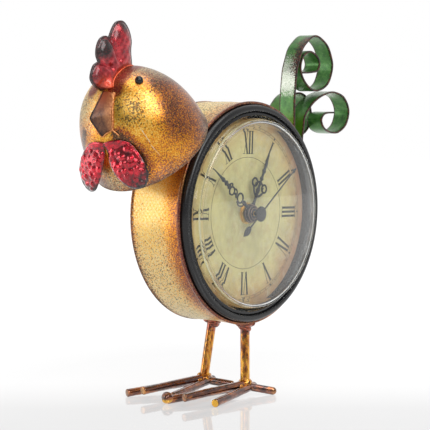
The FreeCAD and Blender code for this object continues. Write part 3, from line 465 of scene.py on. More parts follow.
def gold_lacquer(name):
    """Sprayed gold, orange and umber lacquer; attribute warm runs from gold to purple brown."""
    s = Shader(name)
    warm = speckled_fac(s, s.attribute("warm"), 0.80, 0.52, 0.30)
    colour = s.ramp(warm, [
        (0.0, (0.92, 0.60, 0.14)), (0.20, (0.86, 0.42, 0.030)), (0.42, (0.82, 0.270, 0.018)),
        (0.60, (0.34, 0.095, 0.038)), (0.80, (0.16, 0.060, 0.058)), (1.0, (0.060, 0.030, 0.034)),
    ])
    # The olive field is real olive paint beside the beak and, on the drum, a band of painted shade below the
    # head.
    olive = speckled_fac(s, s.attribute("olive"), 1.2, 0.3, 0.3)
    colour = s.mix(olive, colour, (0.36, 0.22, 0.025))
    pale = speckled_fac(s, s.attribute("pale"), 0.9, 0.85, 0.2)
    pale = s.math("MULTIPLY", pale, s.ramp(s.attribute("pale"), [(0.0, 0.0), (0.25, 1.0)]))
    colour = s.mix(pale, colour, (0.78, 0.68, 0.38))
    red = speckled_fac(s, s.attribute("red"), 0.8, 0.3, 0.25)
    colour = s.mix(red, colour, (0.19, 0.010, 0.006))
    # The stain field darkens the lacquer for real stains and specks and also for painted shadow beside the
    # wattles.
    stain = s.ramp(speckled_fac(s, s.attribute("stain"), 1.15, 0.9, 0.3), [(0.46, 0.0), (0.58, 1.0)])
    colour = s.mix(s.math("MULTIPLY", stain, 0.82), colour, (0.040, 0.030, 0.022))
    flecks = s.ramp(s.noise(1.5, 2.0, 0.6, s.stretch(1.0, 0.8, 1.2)), [(0.58, 0.0), (0.66, 0.6)])
    colour = s.mix(s.math("MULTIPLY", flecks, s.attribute("warm")), colour, (0.90, 0.56, 0.20))
    weave = s.math("MULTIPLY", s.math("SINE", s.math("MULTIPLY", s.axis("Y"), 1.9)),
                   s.math("SINE", s.math("MULTIPLY", s.axis("Z"), 1.6)))
    weave = s.math("MULTIPLY", s.ramp(weave, [(0.25, 0.0), (0.8, 1.0)]), s.attribute("weave"))
    colour = s.mix(weave, colour, (1.0, 0.86, 0.50))
    nearest = s.line_distance(*SCRATCHES[0])
    for scratch in SCRATCHES[1:]:
        nearest = s.math("MINIMUM", nearest, s.line_distance(*scratch))
    uneven = s.math("ADD", nearest, s.math("MULTIPLY", s.noise(0.9, 2.0), 0.5))
    scraped = s.ramp(uneven, [(0.34, 0.85), (0.52, 0.0)])
    colour = s.mix(scraped, colour, (0.72, 0.66, 0.52))
    rough = s.ramp(s.noise(0.8, 5.0, 0.7), [(0.3, 0.24), (0.75, 0.42)])
    matt = s.math("ADD", rough, s.math("MULTIPLY", s.attribute("pale"), 0.34))
    metal = s.math("SUBTRACT", 0.90, s.math("MULTIPLY", s.attribute("pale"), 0.8), clamp=True)
    grain_bump = s.bump(s.noise(1.4, 4.0, 0.6), 0.16, 0.12)
    normal = s.bump(s.noise(0.10, 2.0, 0.5), 0.25, 0.6, grain_bump)
    s.set(color=colour, metallic=metal, roughness=matt, normal=normal, coat=0.25, coat_roughness=0.16)
    return s.material


def copper_lacquer():
    """Copper-brown beak lacquer with seams painted bright orange as a painted highlight (attribute edge) and
    wine-red brow (red).
    """
    s = Shader("copper_lacquer")
    streak = s.noise(0.5, 5.0, 0.65, s.stretch(1.0, 1.0, 0.35))
    browns = [(0.30, (0.07, 0.034, 0.022)), (0.52, (0.15, 0.064, 0.036)), (0.75, (0.24, 0.11, 0.05))]
    colour = s.ramp(streak, browns)
    dark = s.ramp(s.noise(1.2, 3.0, 0.7), [(0.50, 0.0), (0.62, 0.75)])
    colour = s.mix(dark, colour, (0.05, 0.028, 0.026))
    colour = s.mix(s.attribute("red"), colour, (0.34, 0.075, 0.026))
    # Bright orange along the seams: painted highlight on the rolled lip.
    seam_highlight = s.ramp(s.noise(0.7, 3.0), [(0.35, (0.42, 0.12, 0.04)), (0.60, (0.86, 0.38, 0.13))])
    colour = s.mix(s.attribute("edge"), colour, seam_highlight)
    colour = s.mix(s.attribute("ridge"), colour, (0.015, 0.010, 0.012))
    normal = s.bump(s.noise(0.9, 4.0, 0.6), 0.22, 0.3)
    s.set(color=colour, metallic=0.62, roughness=0.50, normal=normal, coat=0.22, coat_roughness=0.25)
    return s.material


def red_lacquer(name, stops, metallic, roughness, coat, coat_roughness):
    """Clear red lacquer over metal, blackened by attribute dark and lightened to orange-red by attribute
    warm; on the comb, warm is a painted highlight at the foot's edge and lower front lobe, and on the wattles
    dark also holds painted shade between the bumps.
    """
    s = Shader(name)
    base = s.ramp(s.noise(0.25, 4.0, 0.6), stops)
    base = s.mix(s.attribute("warm"), base, (0.85, 0.13, 0.03))
    dark = speckled_fac(s, s.attribute("dark"), 0.9, 0.35, 0.35)
    colour = s.mix(dark, base, (0.030, 0.024, 0.024))
    specks = s.ramp(s.noise(1.1, 2.0, 0.6), [(0.60, 0.0), (0.68, 0.7)])
    colour = s.mix(specks, colour, (0.05, 0.012, 0.014))
    normal = s.bump(s.noise(0.6, 4.0, 0.6), 0.30, 0.35)
    rough = s.ramp(s.noise(0.9, 3.0), [(0.3, roughness), (0.8, roughness + 0.14)])
    s.set(color=colour, metallic=metallic, roughness=rough, normal=normal, coat=coat,
          coat_roughness=coat_roughness)
    return s.material


WINE = [(0.32, (0.18, 0.004, 0.010)), (0.50, (0.42, 0.014, 0.026)), (0.68, (0.74, 0.050, 0.062))]
CRIMSON = [(0.32, (0.22, 0.002, 0.010)), (0.50, (0.60, 0.004, 0.022)), (0.66, (0.95, 0.020, 0.048))]


def green_lacquer():
    """Green lacquer on strip iron; attributes give rust-brown edges, pale scuffs, a yellow-green foot and a
    whitish speckled band that is partly frosted paint and partly painted highlight.
    """
    s = Shader("green_lacquer")
    base = s.ramp(s.noise(0.25, 5.0, 0.65), [
        (0.28, (0.022, 0.095, 0.020)), (0.50, (0.050, 0.180, 0.034)), (0.75, (0.10, 0.28, 0.060)),
    ])
    base = s.mix(speckled_fac(s, s.attribute("foot"), 1.0, 0.3, 0.3), base, (0.085, 0.22, 0.010))
    # The frost band is partly frosted paint and partly a painted highlight.
    frost_and_highlight = speckled_fac(s, s.attribute("frost_and_highlight"), 0.7, 1.1, 0.2)
    frost_and_highlight = s.math("MULTIPLY", frost_and_highlight, s.ramp(s.attribute("frost_and_highlight"), [(0.0, 0.0), (0.2, 0.85)]))
    base = s.mix(frost_and_highlight, base, (0.80, 0.82, 0.74))
    rub = s.ramp(s.noise(1.2, 2.0, 0.6), [(0.60, 0.0), (0.70, 0.5)])
    base = s.mix(rub, base, (0.24, 0.33, 0.15))
    edge = speckled_fac(s, s.attribute("edge"), 0.8, 0.6, 0.3)
    rust = s.ramp(s.noise(0.5, 3.0), [(0.42, (0.024, 0.018, 0.016)), (0.66, (0.13, 0.045, 0.026))])
    colour = s.mix(s.ramp(edge, [(0.42, 0.0), (0.58, 1.0)]), base, rust)
    normal = s.bump(s.noise(0.9, 4.0, 0.6), 0.22, 0.25)
    rough = s.ramp(s.noise(0.6, 4.0), [(0.3, 0.28), (0.8, 0.44)])
    s.set(color=colour, metallic=0.50, roughness=rough, normal=normal, coat=0.30, coat_roughness=0.18)
    return s.material


AMBER = [(0.32, (0.13, 0.035, 0.010)), (0.47, (0.58, 0.19, 0.014)), (0.68, (0.98, 0.52, 0.045))]
COPPER = [(0.32, (0.060, 0.028, 0.026)), (0.50, (0.19, 0.070, 0.048)), (0.66, (0.48, 0.16, 0.045))]


def rod_lacquer(name, stops, grain, darkness):
    """Streaky lacquer of the leg and toe rods with burnt patches."""
    s = Shader(name)
    colour = s.ramp(s.noise(0.40, 3.0, 0.6, s.stretch(*grain)), stops)
    blotch = s.noise(0.22, 3.0, 0.6, s.stretch(*grain), 0.6)
    burnt = s.ramp(blotch, [(0.56 - darkness, 0.0), (0.66 - darkness, 0.85)])
    colour = s.mix(burnt, colour, (0.045, 0.030, 0.026))
    uneven = s.math("SUBTRACT", s.noise(0.6, 3.0, 0.7), 0.5)
    rust = s.ramp(s.math("ADD", s.attribute("rust"), uneven), [(0.42, 0.0), (0.56, 1.0)])
    scale = s.ramp(s.noise(0.45, 3.0, 0.7), [(0.36, (0.045, 0.024, 0.022)), (0.56, (0.42, 0.095, 0.040))])
    colour = s.mix(rust, colour, scale)
    # Attribute tip paints bright amber on the toes' cut ends and knob: painted highlight.
    colour = s.mix(s.attribute("tip"), colour, (0.95, 0.50, 0.04))
    normal = s.bump(s.noise(0.5, 3.0, 0.6), 0.22, 0.3)
    rough = s.ramp(s.noise(0.8, 3.0), [(0.3, 0.12), (0.8, 0.24)])
    s.set(color=colour, metallic=0.92, roughness=rough, normal=normal, coat=1.0, coat_roughness=0.05)
    return s.material


def dial_paper():
    """Aged printed paper: yellow-green with cloudy blotches, orange to tan at the rim, a pink brown flush."""
    s = Shader("dial_paper")
    cloudy = s.math("MULTIPLY", s.math("SUBTRACT", s.noise(0.05, 5.0, 0.65), 0.5), 0.55)
    fac = s.math("ADD", s.attribute("radius"), cloudy, clamp=True)
    colour = s.ramp(fac, [
        (0.0, (0.60, 0.56, 0.28)), (0.45, (0.64, 0.57, 0.26)), (0.66, (0.66, 0.52, 0.22)),
        (0.86, (0.50, 0.28, 0.09)), (1.0, (0.30, 0.14, 0.05)),
    ])
    blush = speckled_fac(s, s.attribute("blush"), 6.0, 0.5, 0.8)
    colour = s.mix(s.math("MULTIPLY", blush, 0.75), colour, (0.42, 0.20, 0.12))
    wash = s.noise(0.10, 5.0, 0.7, s.stretch(1.0, 1.0, 0.5))
    colour = s.mix(s.ramp(wash, [(0.42, 0.0), (0.70, 0.55)]), colour, (0.34, 0.30, 0.15))
    bare = s.ramp(s.noise(0.16, 5.0, 0.7, distortion=0.5), [(0.52, 0.0), (0.72, 0.5)])
    colour = s.mix(bare, colour, (0.62, 0.58, 0.40))
    fibre = s.noise(1.2, 3.0, 0.8)
    colour = s.mix(s.math("MULTIPLY", fibre, 0.16), colour, (0.26, 0.22, 0.11))
    s.set(color=colour, roughness=0.72, normal=s.bump(fibre, 0.10, 0.10), specular=0.3)
    return s.material


def printed_ink():
    s = Shader("printed_ink")
    wear = s.ramp(s.noise(1.6, 4.0, 0.75), [(0.35, (0.008, 0.008, 0.007)), (0.75, (0.040, 0.034, 0.024))])
    s.set(color=wear, roughness=0.65)
    return s.material


def plastic(name, colour, roughness, scratch=0.0, bump=0.06, scale=2.0):
    """Moulded plastic with a fine texture and faint colour drift."""
    s = Shader(name)
    drift = s.noise(0.08, 3.0)
    light = tuple(min(1.0, c * 1.25 + 0.004) for c in colour)
    mixed = s.mix(drift, colour, light)
    fine = s.noise(scale, 4.0, 0.6)
    rough = s.ramp(s.noise(0.5, 4.0, 0.7), [(0.3, max(0.05, roughness - 0.06)), (0.8, roughness + 0.08)])
    if scratch:
        hair = s.ramp(s.cell_edge(0.12), [(0.0, 1.0), (0.01, 0.0)])
        mixed = s.mix(s.math("MULTIPLY", hair, scratch), mixed, tuple(min(1.0, c + 0.2) for c in colour))
    s.set(color=mixed, roughness=rough, normal=s.bump(fine, bump, 0.15), specular=0.5)
    return s.material


def metal(name, colour, roughness, brushed=(0.3, 3.0, 3.0)):
    """Bare or plated metal with a brushed grain and slight tarnish."""
    s = Shader(name)
    grain = s.noise(1.0, 4.0, 0.7, s.stretch(*brushed))
    tarnish = s.ramp(s.noise(0.25, 4.0, 0.6), [(0.4, 0.0), (0.8, 0.55)])
    mixed = s.mix(tarnish, colour, tuple(c * 0.45 for c in colour))
    rough = s.ramp(grain, [(0.3, roughness), (0.75, roughness + 0.16)])
    s.set(color=mixed, metallic=1.0, roughness=rough, normal=s.bump(grain, 0.10, 0.08))
    return s.material


def wound_copper():
    s = Shader("wound_copper")
    wave = s.tree.nodes.new("ShaderNodeTexWave")
    wave.bands_direction = "Z"
    wave.inputs["Scale"].default_value = 1.6
    s.link(s.mm, wave.inputs["Vector"])
    colour = s.mix(wave.outputs["Fac"], (0.20, 0.05, 0.02), (0.75, 0.28, 0.10))
    s.set(color=colour, metallic=0.9, roughness=0.28, normal=s.bump(wave.outputs["Fac"], 0.8, 0.2), coat=0.4)
    return s.material


def battery_sleeve():
    """Plain two-colour sleeve of a dry cell with steel ends; no lettering."""
    s = Shader("battery_sleeve")
    low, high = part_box("battery_cell")
    x = s.axis("X")
    share = s.math("DIVIDE", s.math("SUBTRACT", x, low.x / MM), (high.x - low.x) / MM)
    steel = (0.6, 0.6, 0.62)
    black = (0.015, 0.016, 0.018)
    orange = (0.50, 0.21, 0.05)
    colour = s.ramp(share, [
        (0.0, steel), (0.025, steel), (0.03, black), (0.68, black),
        (0.685, orange), (0.955, orange), (0.96, steel),
    ])
    colour = s.mix(s.math("MULTIPLY", s.noise(0.4, 3.0), 0.12), colour, (0.2, 0.2, 0.2))
    s.set(color=colour, metallic=0.55, roughness=0.3, coat=0.5, normal=s.bump(s.noise(0.3, 2.0), 0.08, 0.2))
    return s.material


def clear_acrylic():
    """Clear plastic that lets light through to the dial; a whitish translucent band on the right part of its
    side wall is a painted reflection.
    """
    s = Shader("clear_acrylic")
    haze = s.ramp(s.noise(0.3, 4.0), [(0.4, 0.0), (0.9, 0.006)])
    s.set(color=(0.97, 0.985, 0.98), roughness=haze, transmission=1.0, ior=1.47)
    path = s.tree.nodes.new("ShaderNodeLightPath")
    clear = s.tree.nodes.new("ShaderNodeBsdfTransparent")
    clear.inputs[0].default_value = (0.96, 0.97, 0.97, 1.0)
    # Whitish translucent layer on the wall: painted reflection.
    painted_wall_sheen = s.tree.nodes.new("ShaderNodeBsdfTranslucent")
    painted_wall_sheen.inputs[0].default_value = (0.80, 0.80, 0.78, 1.0)
    streaks = s.ramp(s.noise(0.12, 3.0, 0.5), [(0.35, 0.05), (0.70, 0.24)])
    wall = s.tree.nodes.new("ShaderNodeMixShader")
    s.link(s.math("MULTIPLY", s.attribute("wall"), streaks), wall.inputs[0])
    s.link(s.bsdf.outputs[0], wall.inputs[1])
    s.link(painted_wall_sheen.outputs[0], wall.inputs[2])
    choose = s.tree.nodes.new("ShaderNodeMixShader")
    s.link(path.outputs["Is Shadow Ray"], choose.inputs[0])
    s.link(wall.outputs[0], choose.inputs[1])
    s.link(clear.outputs[0], choose.inputs[2])
    s.link(choose.outputs[0], s.output.inputs["Surface"])
    return s.material


M = {
    "gold": gold_lacquer("gold_lacquer"),
    "copper": copper_lacquer(),
    "comb": red_lacquer("comb_lacquer", WINE, 0.75, 0.34, 0.8, 0.16),
    "wattle": red_lacquer("wattle_lacquer", CRIMSON, 0.96, 0.18, 1.0, 0.02),
    "green": green_lacquer(),
    "amber": rod_lacquer("amber_rod", AMBER, (1.0, 1.0, 0.35), 0.02),
    "rod": rod_lacquer("copper_rod", COPPER, (0.25, 0.7, 1.0), 0.04),
    "paper": dial_paper(),
    "ink": printed_ink(),
    "bezel": plastic("bezel_plastic", (0.0035, 0.0035, 0.004), 0.26, 0.0, 0.006, 1.0),
    "bead": plastic("bead_black", (0.003, 0.003, 0.004), 0.04, 0.0, 0.01, 1.0),
    "hand": plastic("hand_black", (0.022, 0.024, 0.028), 0.42, 0.0, 0.06, 3.0),
    "collar": metal("copper_ring", (0.34, 0.24, 0.20), 0.34),
    "case": plastic("case_plastic", (0.022, 0.022, 0.024), 0.45, 0.05, 0.10),
    "grey": plastic("grey_plastic", (0.20, 0.21, 0.23), 0.42, 0.05, 0.10),
    "gear": plastic("gear_plastic", (0.74, 0.73, 0.68), 0.40, 0.0, 0.05),
    "board": plastic("board_green", (0.020, 0.16, 0.06), 0.35, 0.1, 0.08),
    "rubber": plastic("black_rubber", (0.014, 0.014, 0.015), 0.75, 0.0, 0.15),
    "brass": metal("brass", (0.72, 0.49, 0.17), 0.26),
    "steel": metal("zinc_steel", (0.60, 0.61, 0.63), 0.30),
    "wire": wound_copper(),
    "cell": battery_sleeve(),
    "acrylic": clear_acrylic(),
}


# ------------------------------------------------------------------ drum
def fade(value, start, end):
    """0 below start, 1 above end, smooth between."""
    t = np.clip((np.asarray(value, float) - start) / (end - start), 0, 1)
    return t * t * (3 - 2 * t)


def drum_ripple(turn, y):
    """Hand-rolled sheet is never quite round: a few tenths of a millimetre."""
    body = float(fade(DRUM_HALF - abs(y), 1.5, 7.0))
    wave = 0.16 * math.sin(5 * turn + 0.8) * math.sin(y * 0.16 + 1.2) + 0.10 * math.sin(11 * turn + y * 0.21)
    return body * wave


def build_drum():
    place_y = DRUM_HALF - HEM
    outer = [(DRUM_RADIUS, y) for y in np.linspace(-place_y + HEM, place_y - HEM, 40)]
    front_hem = []
    back_hem = []
    hem_radius = DRUM_RADIUS - HEM / 2
    for i in range(13):
        a = math.radians(25 - 205 * i / 12)
        front_hem.append((hem_radius + HEM * math.cos(a), -place_y + HEM * math.sin(a)))
    for i in range(13):
        a = math.radians(180 - 205 * i / 12)
        back_hem.append((hem_radius + HEM * math.cos(a), place_y + HEM * math.sin(a)))
    inside = [(DRUM_RADIUS - SHEET, y) for y in np.linspace(place_y - HEM, -place_y + HEM, 12)]
    profile = front_hem[::-1] + outer + back_hem[::-1] + inside

    piece = lathe("drum_skin", profile, segments=288, ripple=drum_ripple)
    paint_by_place(piece, drum_paint)
    return place(piece, "drum_shell", M["gold"])


def paint_by_place(piece, rule):
    """Adds per-vertex paint fields; rule takes drum coordinates in mm and returns a dict of arrays."""
    count = len(piece.data.vertices)
    co = np.zeros(count * 3)
    piece.data.vertices.foreach_get("co", co)
    co = (co.reshape(-1, 3) - np.array(CENTRE)) / MM
    for key, values in rule(co).items():
        layer = piece.data.attributes.get(key) or piece.data.attributes.new(key, "FLOAT", "POINT")
        layer.data.foreach_set("value", np.clip(values, 0, 1).astype(np.float32))


def even_paint(**levels):
    """Rule for paint_by_place that gives each field one level all over."""
    return lambda p: {key: np.full(len(p), float(level)) for key, level in levels.items()}


def drum_paint(p):
    """Gold at the upper front left, brick red to the front rim, beige specked with grey below and on top; a
    darker olive band just below the head is painted shade.
    """
    y, z = p[:, 1], p[:, 2]
    front = fade(-y, 1.0, 19.0)
    back = fade(y, 14.0, 21.0)
    rim = fade(np.abs(y), 18.6, 19.6)
    low = fade(-z, -2.0, 40.0)
    bottom = fade(-z, 48.0, 73.0)
    top = fade(z, 50.0, 68.0)
    warm = 0.06 + 0.50 * front * (1 - 0.35 * bottom) + 0.44 * back + 0.25 * rim + 0.10 * low
    pale = 0.22 * (1 - front) + 0.36 * low * (1 - front) + 0.30 * bottom + 0.40 * top
    stain = 0.08 + 0.16 * low * (1 - 0.6 * front) + 0.12 * back + 0.20 * back * low + 0.24 * top
    weave = 0.38 * fade(z, -12, 2) * (1 - fade(z, 12, 24)) * (1 - front)
    red = 0.30 * front * np.maximum(rim, low * (1 - bottom))
    # Darker olive band at the height just below the head: painted shade of the head on the drum.
    olive = 0.5 * fade(z, 10, 24) * (1 - fade(z, 24, 40))
    return {"warm": warm, "pale": pale * (1 - 0.8 * rim), "red": red, "stain": stain,
            "olive": olive, "weave": weave}


# ------------------------------------------------------------------ head
def head_profile(radius, length, steps):
    """Superellipse from mouth to apex as (radius, height)."""
    power = 2 / HEAD_POWER
    rows = []
    for i in range(steps + 1):
        t = math.pi / 2 * i / steps
        rows.append((radius * math.cos(t) ** power if i < steps else 0.0, length * math.sin(t) ** power))
    return rows


def head_ripple(turn, height):
    share = min(1.0, height / HEAD_LENGTH)
    soft = math.sin(math.pi * share) if share > 0 else 0
    return soft * (0.22 * math.sin(3 * turn + 0.4 + 2.0 * share) + 0.10 * math.sin(7 * turn + 5 * share))


def build_head():
    outer = head_profile(HEAD_RADIUS, HEAD_LENGTH, 90)
    inner = head_profile(HEAD_RADIUS - THIN, HEAD_LENGTH - THIN, 60)
    hem = []
    for i in range(9):
        a = math.radians(150 + 210 * i / 8)
        hem.append((HEAD_RADIUS - 0.6 + 1.0 * math.cos(a), 0.9 + 1.0 * math.sin(a)))
    outer = [p for p in outer if p[1] > 1.2]
    inner = [p for p in inner if p[1] > 1.6]
    profile = hem + outer + inner[::-1]
    piece = lathe("head_skin", profile, HEAD_CENTRE, HEAD_AXIS, 240, head_ripple)
    paint_by_place(piece, head_paint)
    return place(piece, "head_shell", M["gold"])


def near_line(p, line):
    """Distance in mm from points to a broken line in space."""
    best = np.full(len(p), 1e9)
    for a, b in zip(line, line[1:]):
        a = np.array(a, float)
        b = np.array(b, float)
        t = np.clip(((p - a) @ (b - a)) / ((b - a) @ (b - a)), 0, 1)
        best = np.minimum(best, np.linalg.norm(p - (a + t[:, None] * (b - a)), axis=1))
    return best


def spot(p, centre, radius):
    """1 at a centre point, fading to 0 at radius mm from it."""
    return 1 - fade(np.linalg.norm(p - np.array(centre, float), axis=1), 0.0, radius)


HEAD_STAINS = [
    ((-118, -22, 73.5), 9.35, 0.55), ((-121, -20, 65), 8.5, 0.45), ((-117, -24, 68), 10.2, 0.35),
    ((-122.5, -14, 75), 10.2, 0.35), ((-103, -26, 86), 6.8, 0.55), ((-105, -32, 61), 5.1, 0.4),
]


def head_paint(p):
    """Bright gold cheeks, orange bowl, umber crown and mouth rim, red round comb and wattles; a painted
    highlight on the cheek below the eye and a painted shadow along the wattle's edge.
    """
    along = (p - HEAD_CENTRE) @ HEAD_AXIS
    from_mouth = along / HEAD_LENGTH
    x, y, z = p[:, 0], p[:, 1], p[:, 2]
    mirrored = np.column_stack([x, -np.abs(y), z])
    nape = fade(x, -113, -97) * fade(z, 44, 64)
    mouth = 1 - fade(from_mouth, 0.02, 0.26)
    rim = 1 - fade(from_mouth, 0.0, 0.05)
    crown = fade(z, 80, 93)
    chin = 1 - fade(z, 22, 60)
    far = fade(y, -4, 9)
    # Spot below the eye where the key light's highlight falls: it lightens the base colour (painted
    # highlight) and adds a little warmth and a few dark specks.
    painted_highlight = spot(mirrored, (-113, -27, 76), 20)
    amber = 0.15 * fade(-z, -66, -44) * (1 - far)
    warm = 0.15 + 0.05 * painted_highlight + 0.52 * nape + 0.22 * mouth + 0.30 * crown * (1 - 0.4 * nape)
    warm = warm + amber + 0.14 * chin + 0.25 * rim + 0.36 * far * (1 - 0.6 * fade(z, 66, 80))
    comb_line = [(-97, -4, 98), (-105, -5.5, 96), (-113, -6.5, 91), (-118, -8, 87), (-121, -9, 83)]
    red = 1 - fade(near_line(mirrored, comb_line), 3.5, 7.5)
    cheek_line = [(-124, -15, 56), (-120, -20, 52), (-115, -24, 45), (-110, -25, 36)]
    cheek = 1 - fade(near_line(mirrored, cheek_line), 2.5, 8.5)
    # Beside the wattle the lacquer is darkened nearly to black: painted shadow of the wattle, carried in the
    # same field as the real dark stains.
    shade_line = [(-124, -13, 56), (-120, -19, 50), (-114.5, -23, 41), (-109, -23, 31)]
    stain = 0.95 * (1 - fade(near_line(mirrored, shade_line), 1.5, 5.0))
    for centre, reach, depth in HEAD_STAINS:
        stain = np.maximum(stain, depth * spot(mirrored, centre, reach))
    stain = np.maximum(stain, 0.30 * spot(p, (-114, -2, 27), 13)) + 0.12 * nape + 0.10 * painted_highlight + 0.07
    olive = 0.80 * spot(mirrored, (-121.5, -16, 70), 15)
    pale = 0.16 * painted_highlight + 0.30 * fade(z, 84, 97) + 0.12 * mouth + 0.45 * spot(p, (-114, -1, 28), 13)
    pale = pale + 0.46 * far * fade(z, 40, 76)
    red = np.maximum(red, 0.40 * cheek)
    warm = np.maximum(warm + 0.16 * red, 0.55 * cheek)
    return {"warm": warm, "pale": pale, "red": red * 0.95, "stain": stain, "olive": olive,
            "weave": np.zeros(len(p))}


def build_eye(side, word):
    """Black glass bead, a little flattened."""
    centre = np.array([-109.6, side * 18.8, 88.9])
    out = centre - (HEAD_CENTRE + HEAD_AXIS * ((centre - HEAD_CENTRE) @ HEAD_AXIS))
    out /= np.linalg.norm(out)
    rows = [(2.75 * math.sin(math.radians(9 * i)), 2.55 * math.cos(math.radians(9 * i))) for i in range(21)]
    rows[0] = (0.0, 2.55)
    rows[-1] = (0.0, -2.55)
    piece = lathe("eye_bead_" + word, rows, centre, out, 48)
    return place(piece, "eye_" + word, M["bead"])


# ------------------------------------------------------------------ comb
COMB_LOBES = [
    [(-96, 98), (-97, 107), (-96.5, 114), (-99, 121),
     (-103.7, 125.6), (-109, 125.5), (-112.8, 122.3), (-116.7, 115.4)],
    [(-116.7, 115.4), (-120.7, 116.2), (-125, 113.8), (-127.5, 109), (-127.9, 104), (-126.3, 100.3)],
    [(-126.3, 100.3), (-130.3, 98), (-132.7, 93), (-133, 89.4), (-130.8, 86.2), (-127, 83.8), (-122.5, 82)],
]
COMB_CREASES = [
    [(-116.7, 115.4), (-113.5, 108.0), (-110.5, 102.0)],
    [(-126.3, 100.3), (-121.5, 98.5), (-117.0, 96.5)],
]
COMB_FOOT = [
    (-122.5, 82), (-120.8, 84.6), (-117.7, 88.5), (-112.6, 92.9), (-105.4, 97.0), (-98.3, 98.3), (-96, 98),
]
COMB_FOOT_SPREAD = [8.4, 7.0, 4.8, 3.4, 3.1, 2.1, 1.4]
COMB_BLACKENED = [(-123, 109, 11, 1.0), (-104, 124, 8, 0.85), (-131, 92, 6, 0.6), (-113, 118, 5, 0.7)]


def build_comb(side, word):
    """One pressed half: flat rim, three puffed lobes, creases at the notches and a flared open foot."""
    rim = np.vstack([smooth_curve(lobe, 6)[:-1] for lobe in COMB_LOBES] + [np.array([COMB_LOBES[-1][-1]])])
    foot = smooth_curve(COMB_FOOT, 6)
    outline = np.vstack([rim, foot[1:-1]])

    def lift(flat):
        d = polygon_distance(flat, rim, closed=False)
        puff = 3.1 * (1 - np.exp(-np.maximum(d - 0.9, 0) / 2.6))
        puff -= 0.25 * (1 - fade(np.abs(d - 1.1), 0, 0.6))
        base = polygon_distance(flat, foot, closed=False)
        for crease in COMB_CREASES:
            away = polygon_distance(flat, np.array(crease, float), closed=False)
            puff -= 1.5 * np.exp(-(away / 1.9) ** 2) * fade(d, 0, 2)
        puff += 0.14 * np.sin(flat[:, 0] * 1.1 + 0.6) * np.sin(flat[:, 1] * 0.9) * fade(d, 1, 4)
        puff = 0.75 + np.maximum(puff, 0)
        foot_x = [x for x, _ in COMB_FOOT]
        flare = np.interp(flat[:, 0], foot_x, COMB_FOOT_SPREAD)
        near_foot = np.exp(-(base / 2.6) ** 2) * fade(d, 0.0, 3.0)
        return np.column_stack([flat[:, 0], side * (puff * (1 - near_foot) + flare * near_foot), flat[:, 1]])

    def dark(flat):
        d = polygon_distance(flat, rim, closed=False)
        field = 0.95 * (1 - fade(d, 0.6, 2.4))
        for x, z, size, depth in COMB_BLACKENED:
            away = np.hypot(flat[:, 0] - x, flat[:, 1] - z)
            field = np.maximum(field, depth * (1 - fade(away, 0.3 * size, size)))
        return field

    # Foot edge and lower front lobe lightened to orange-red: painted highlight where the flared foot's edge
    # catches the light.
    def warm(flat):
        low_front = 1 - fade(np.hypot(flat[:, 0] + 124, flat[:, 1] - 85), 2, 11)
        return 0.75 * np.exp(-polygon_distance(flat, foot, closed=False) / 1.5) + 0.35 * low_front

    piece = outline_sheet("comb_sheet_" + word, outline, 0.75, lift, {"dark": dark, "warm": warm})
    add_modifier(piece, "SOLIDIFY", thickness=0.6 * MM, offset=-1 if side < 0 else 1)
    apply_modifiers(piece)
    fix_normals(piece)
    place(piece, "comb_" + word + "_half", M["comb"])
    rim_points = [(x, side * (w + 0.25), z) for (x, z), w in zip(COMB_FOOT, COMB_FOOT_SPREAD)]
    bead = tube("comb_foot_bead_" + word, smooth_curve(rim_points[1:], 8), 0.42, 12)
    # Foot bead painted bright orange all over: painted highlight of the flange's edge.
    paint_by_place(bead, even_paint(dark=0, warm=1))
    add_detail(bead, NODES["comb_" + word + "_half"]["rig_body"], M["comb"])


# ------------------------------------------------------------------ wattles
def roll_face(p):
    """Turns points of the face about the head's axis: beak and wattles sit a little round from the comb."""
    away = np.atleast_2d(p) - HEAD_CENTRE
    c, s = math.cos(FACE_ROLL), math.sin(FACE_ROLL)
    turned = away * c + np.cross(HEAD_AXIS, away) * s + np.outer(away @ HEAD_AXIS, HEAD_AXIS) * (1 - c)
    return turned + HEAD_CENTRE


def clear_of_head(p, gap):
    """Pushes points outward from the head's axis until they stand gap mm off its skin."""
    away = p - HEAD_CENTRE
    along = away @ HEAD_AXIS
    radial = away - np.outer(along, HEAD_AXIS)
    reach = np.linalg.norm(radial, axis=1)
    share = np.clip(along / HEAD_LENGTH, 0, 1)
    skin = HEAD_RADIUS * (1 - share ** HEAD_POWER) ** (1 / HEAD_POWER)
    wanted = np.maximum(reach, skin + gap)
    return HEAD_CENTRE + np.outer(along, HEAD_AXIS) + radial * (wanted / np.maximum(reach, 0.01))[:, None]


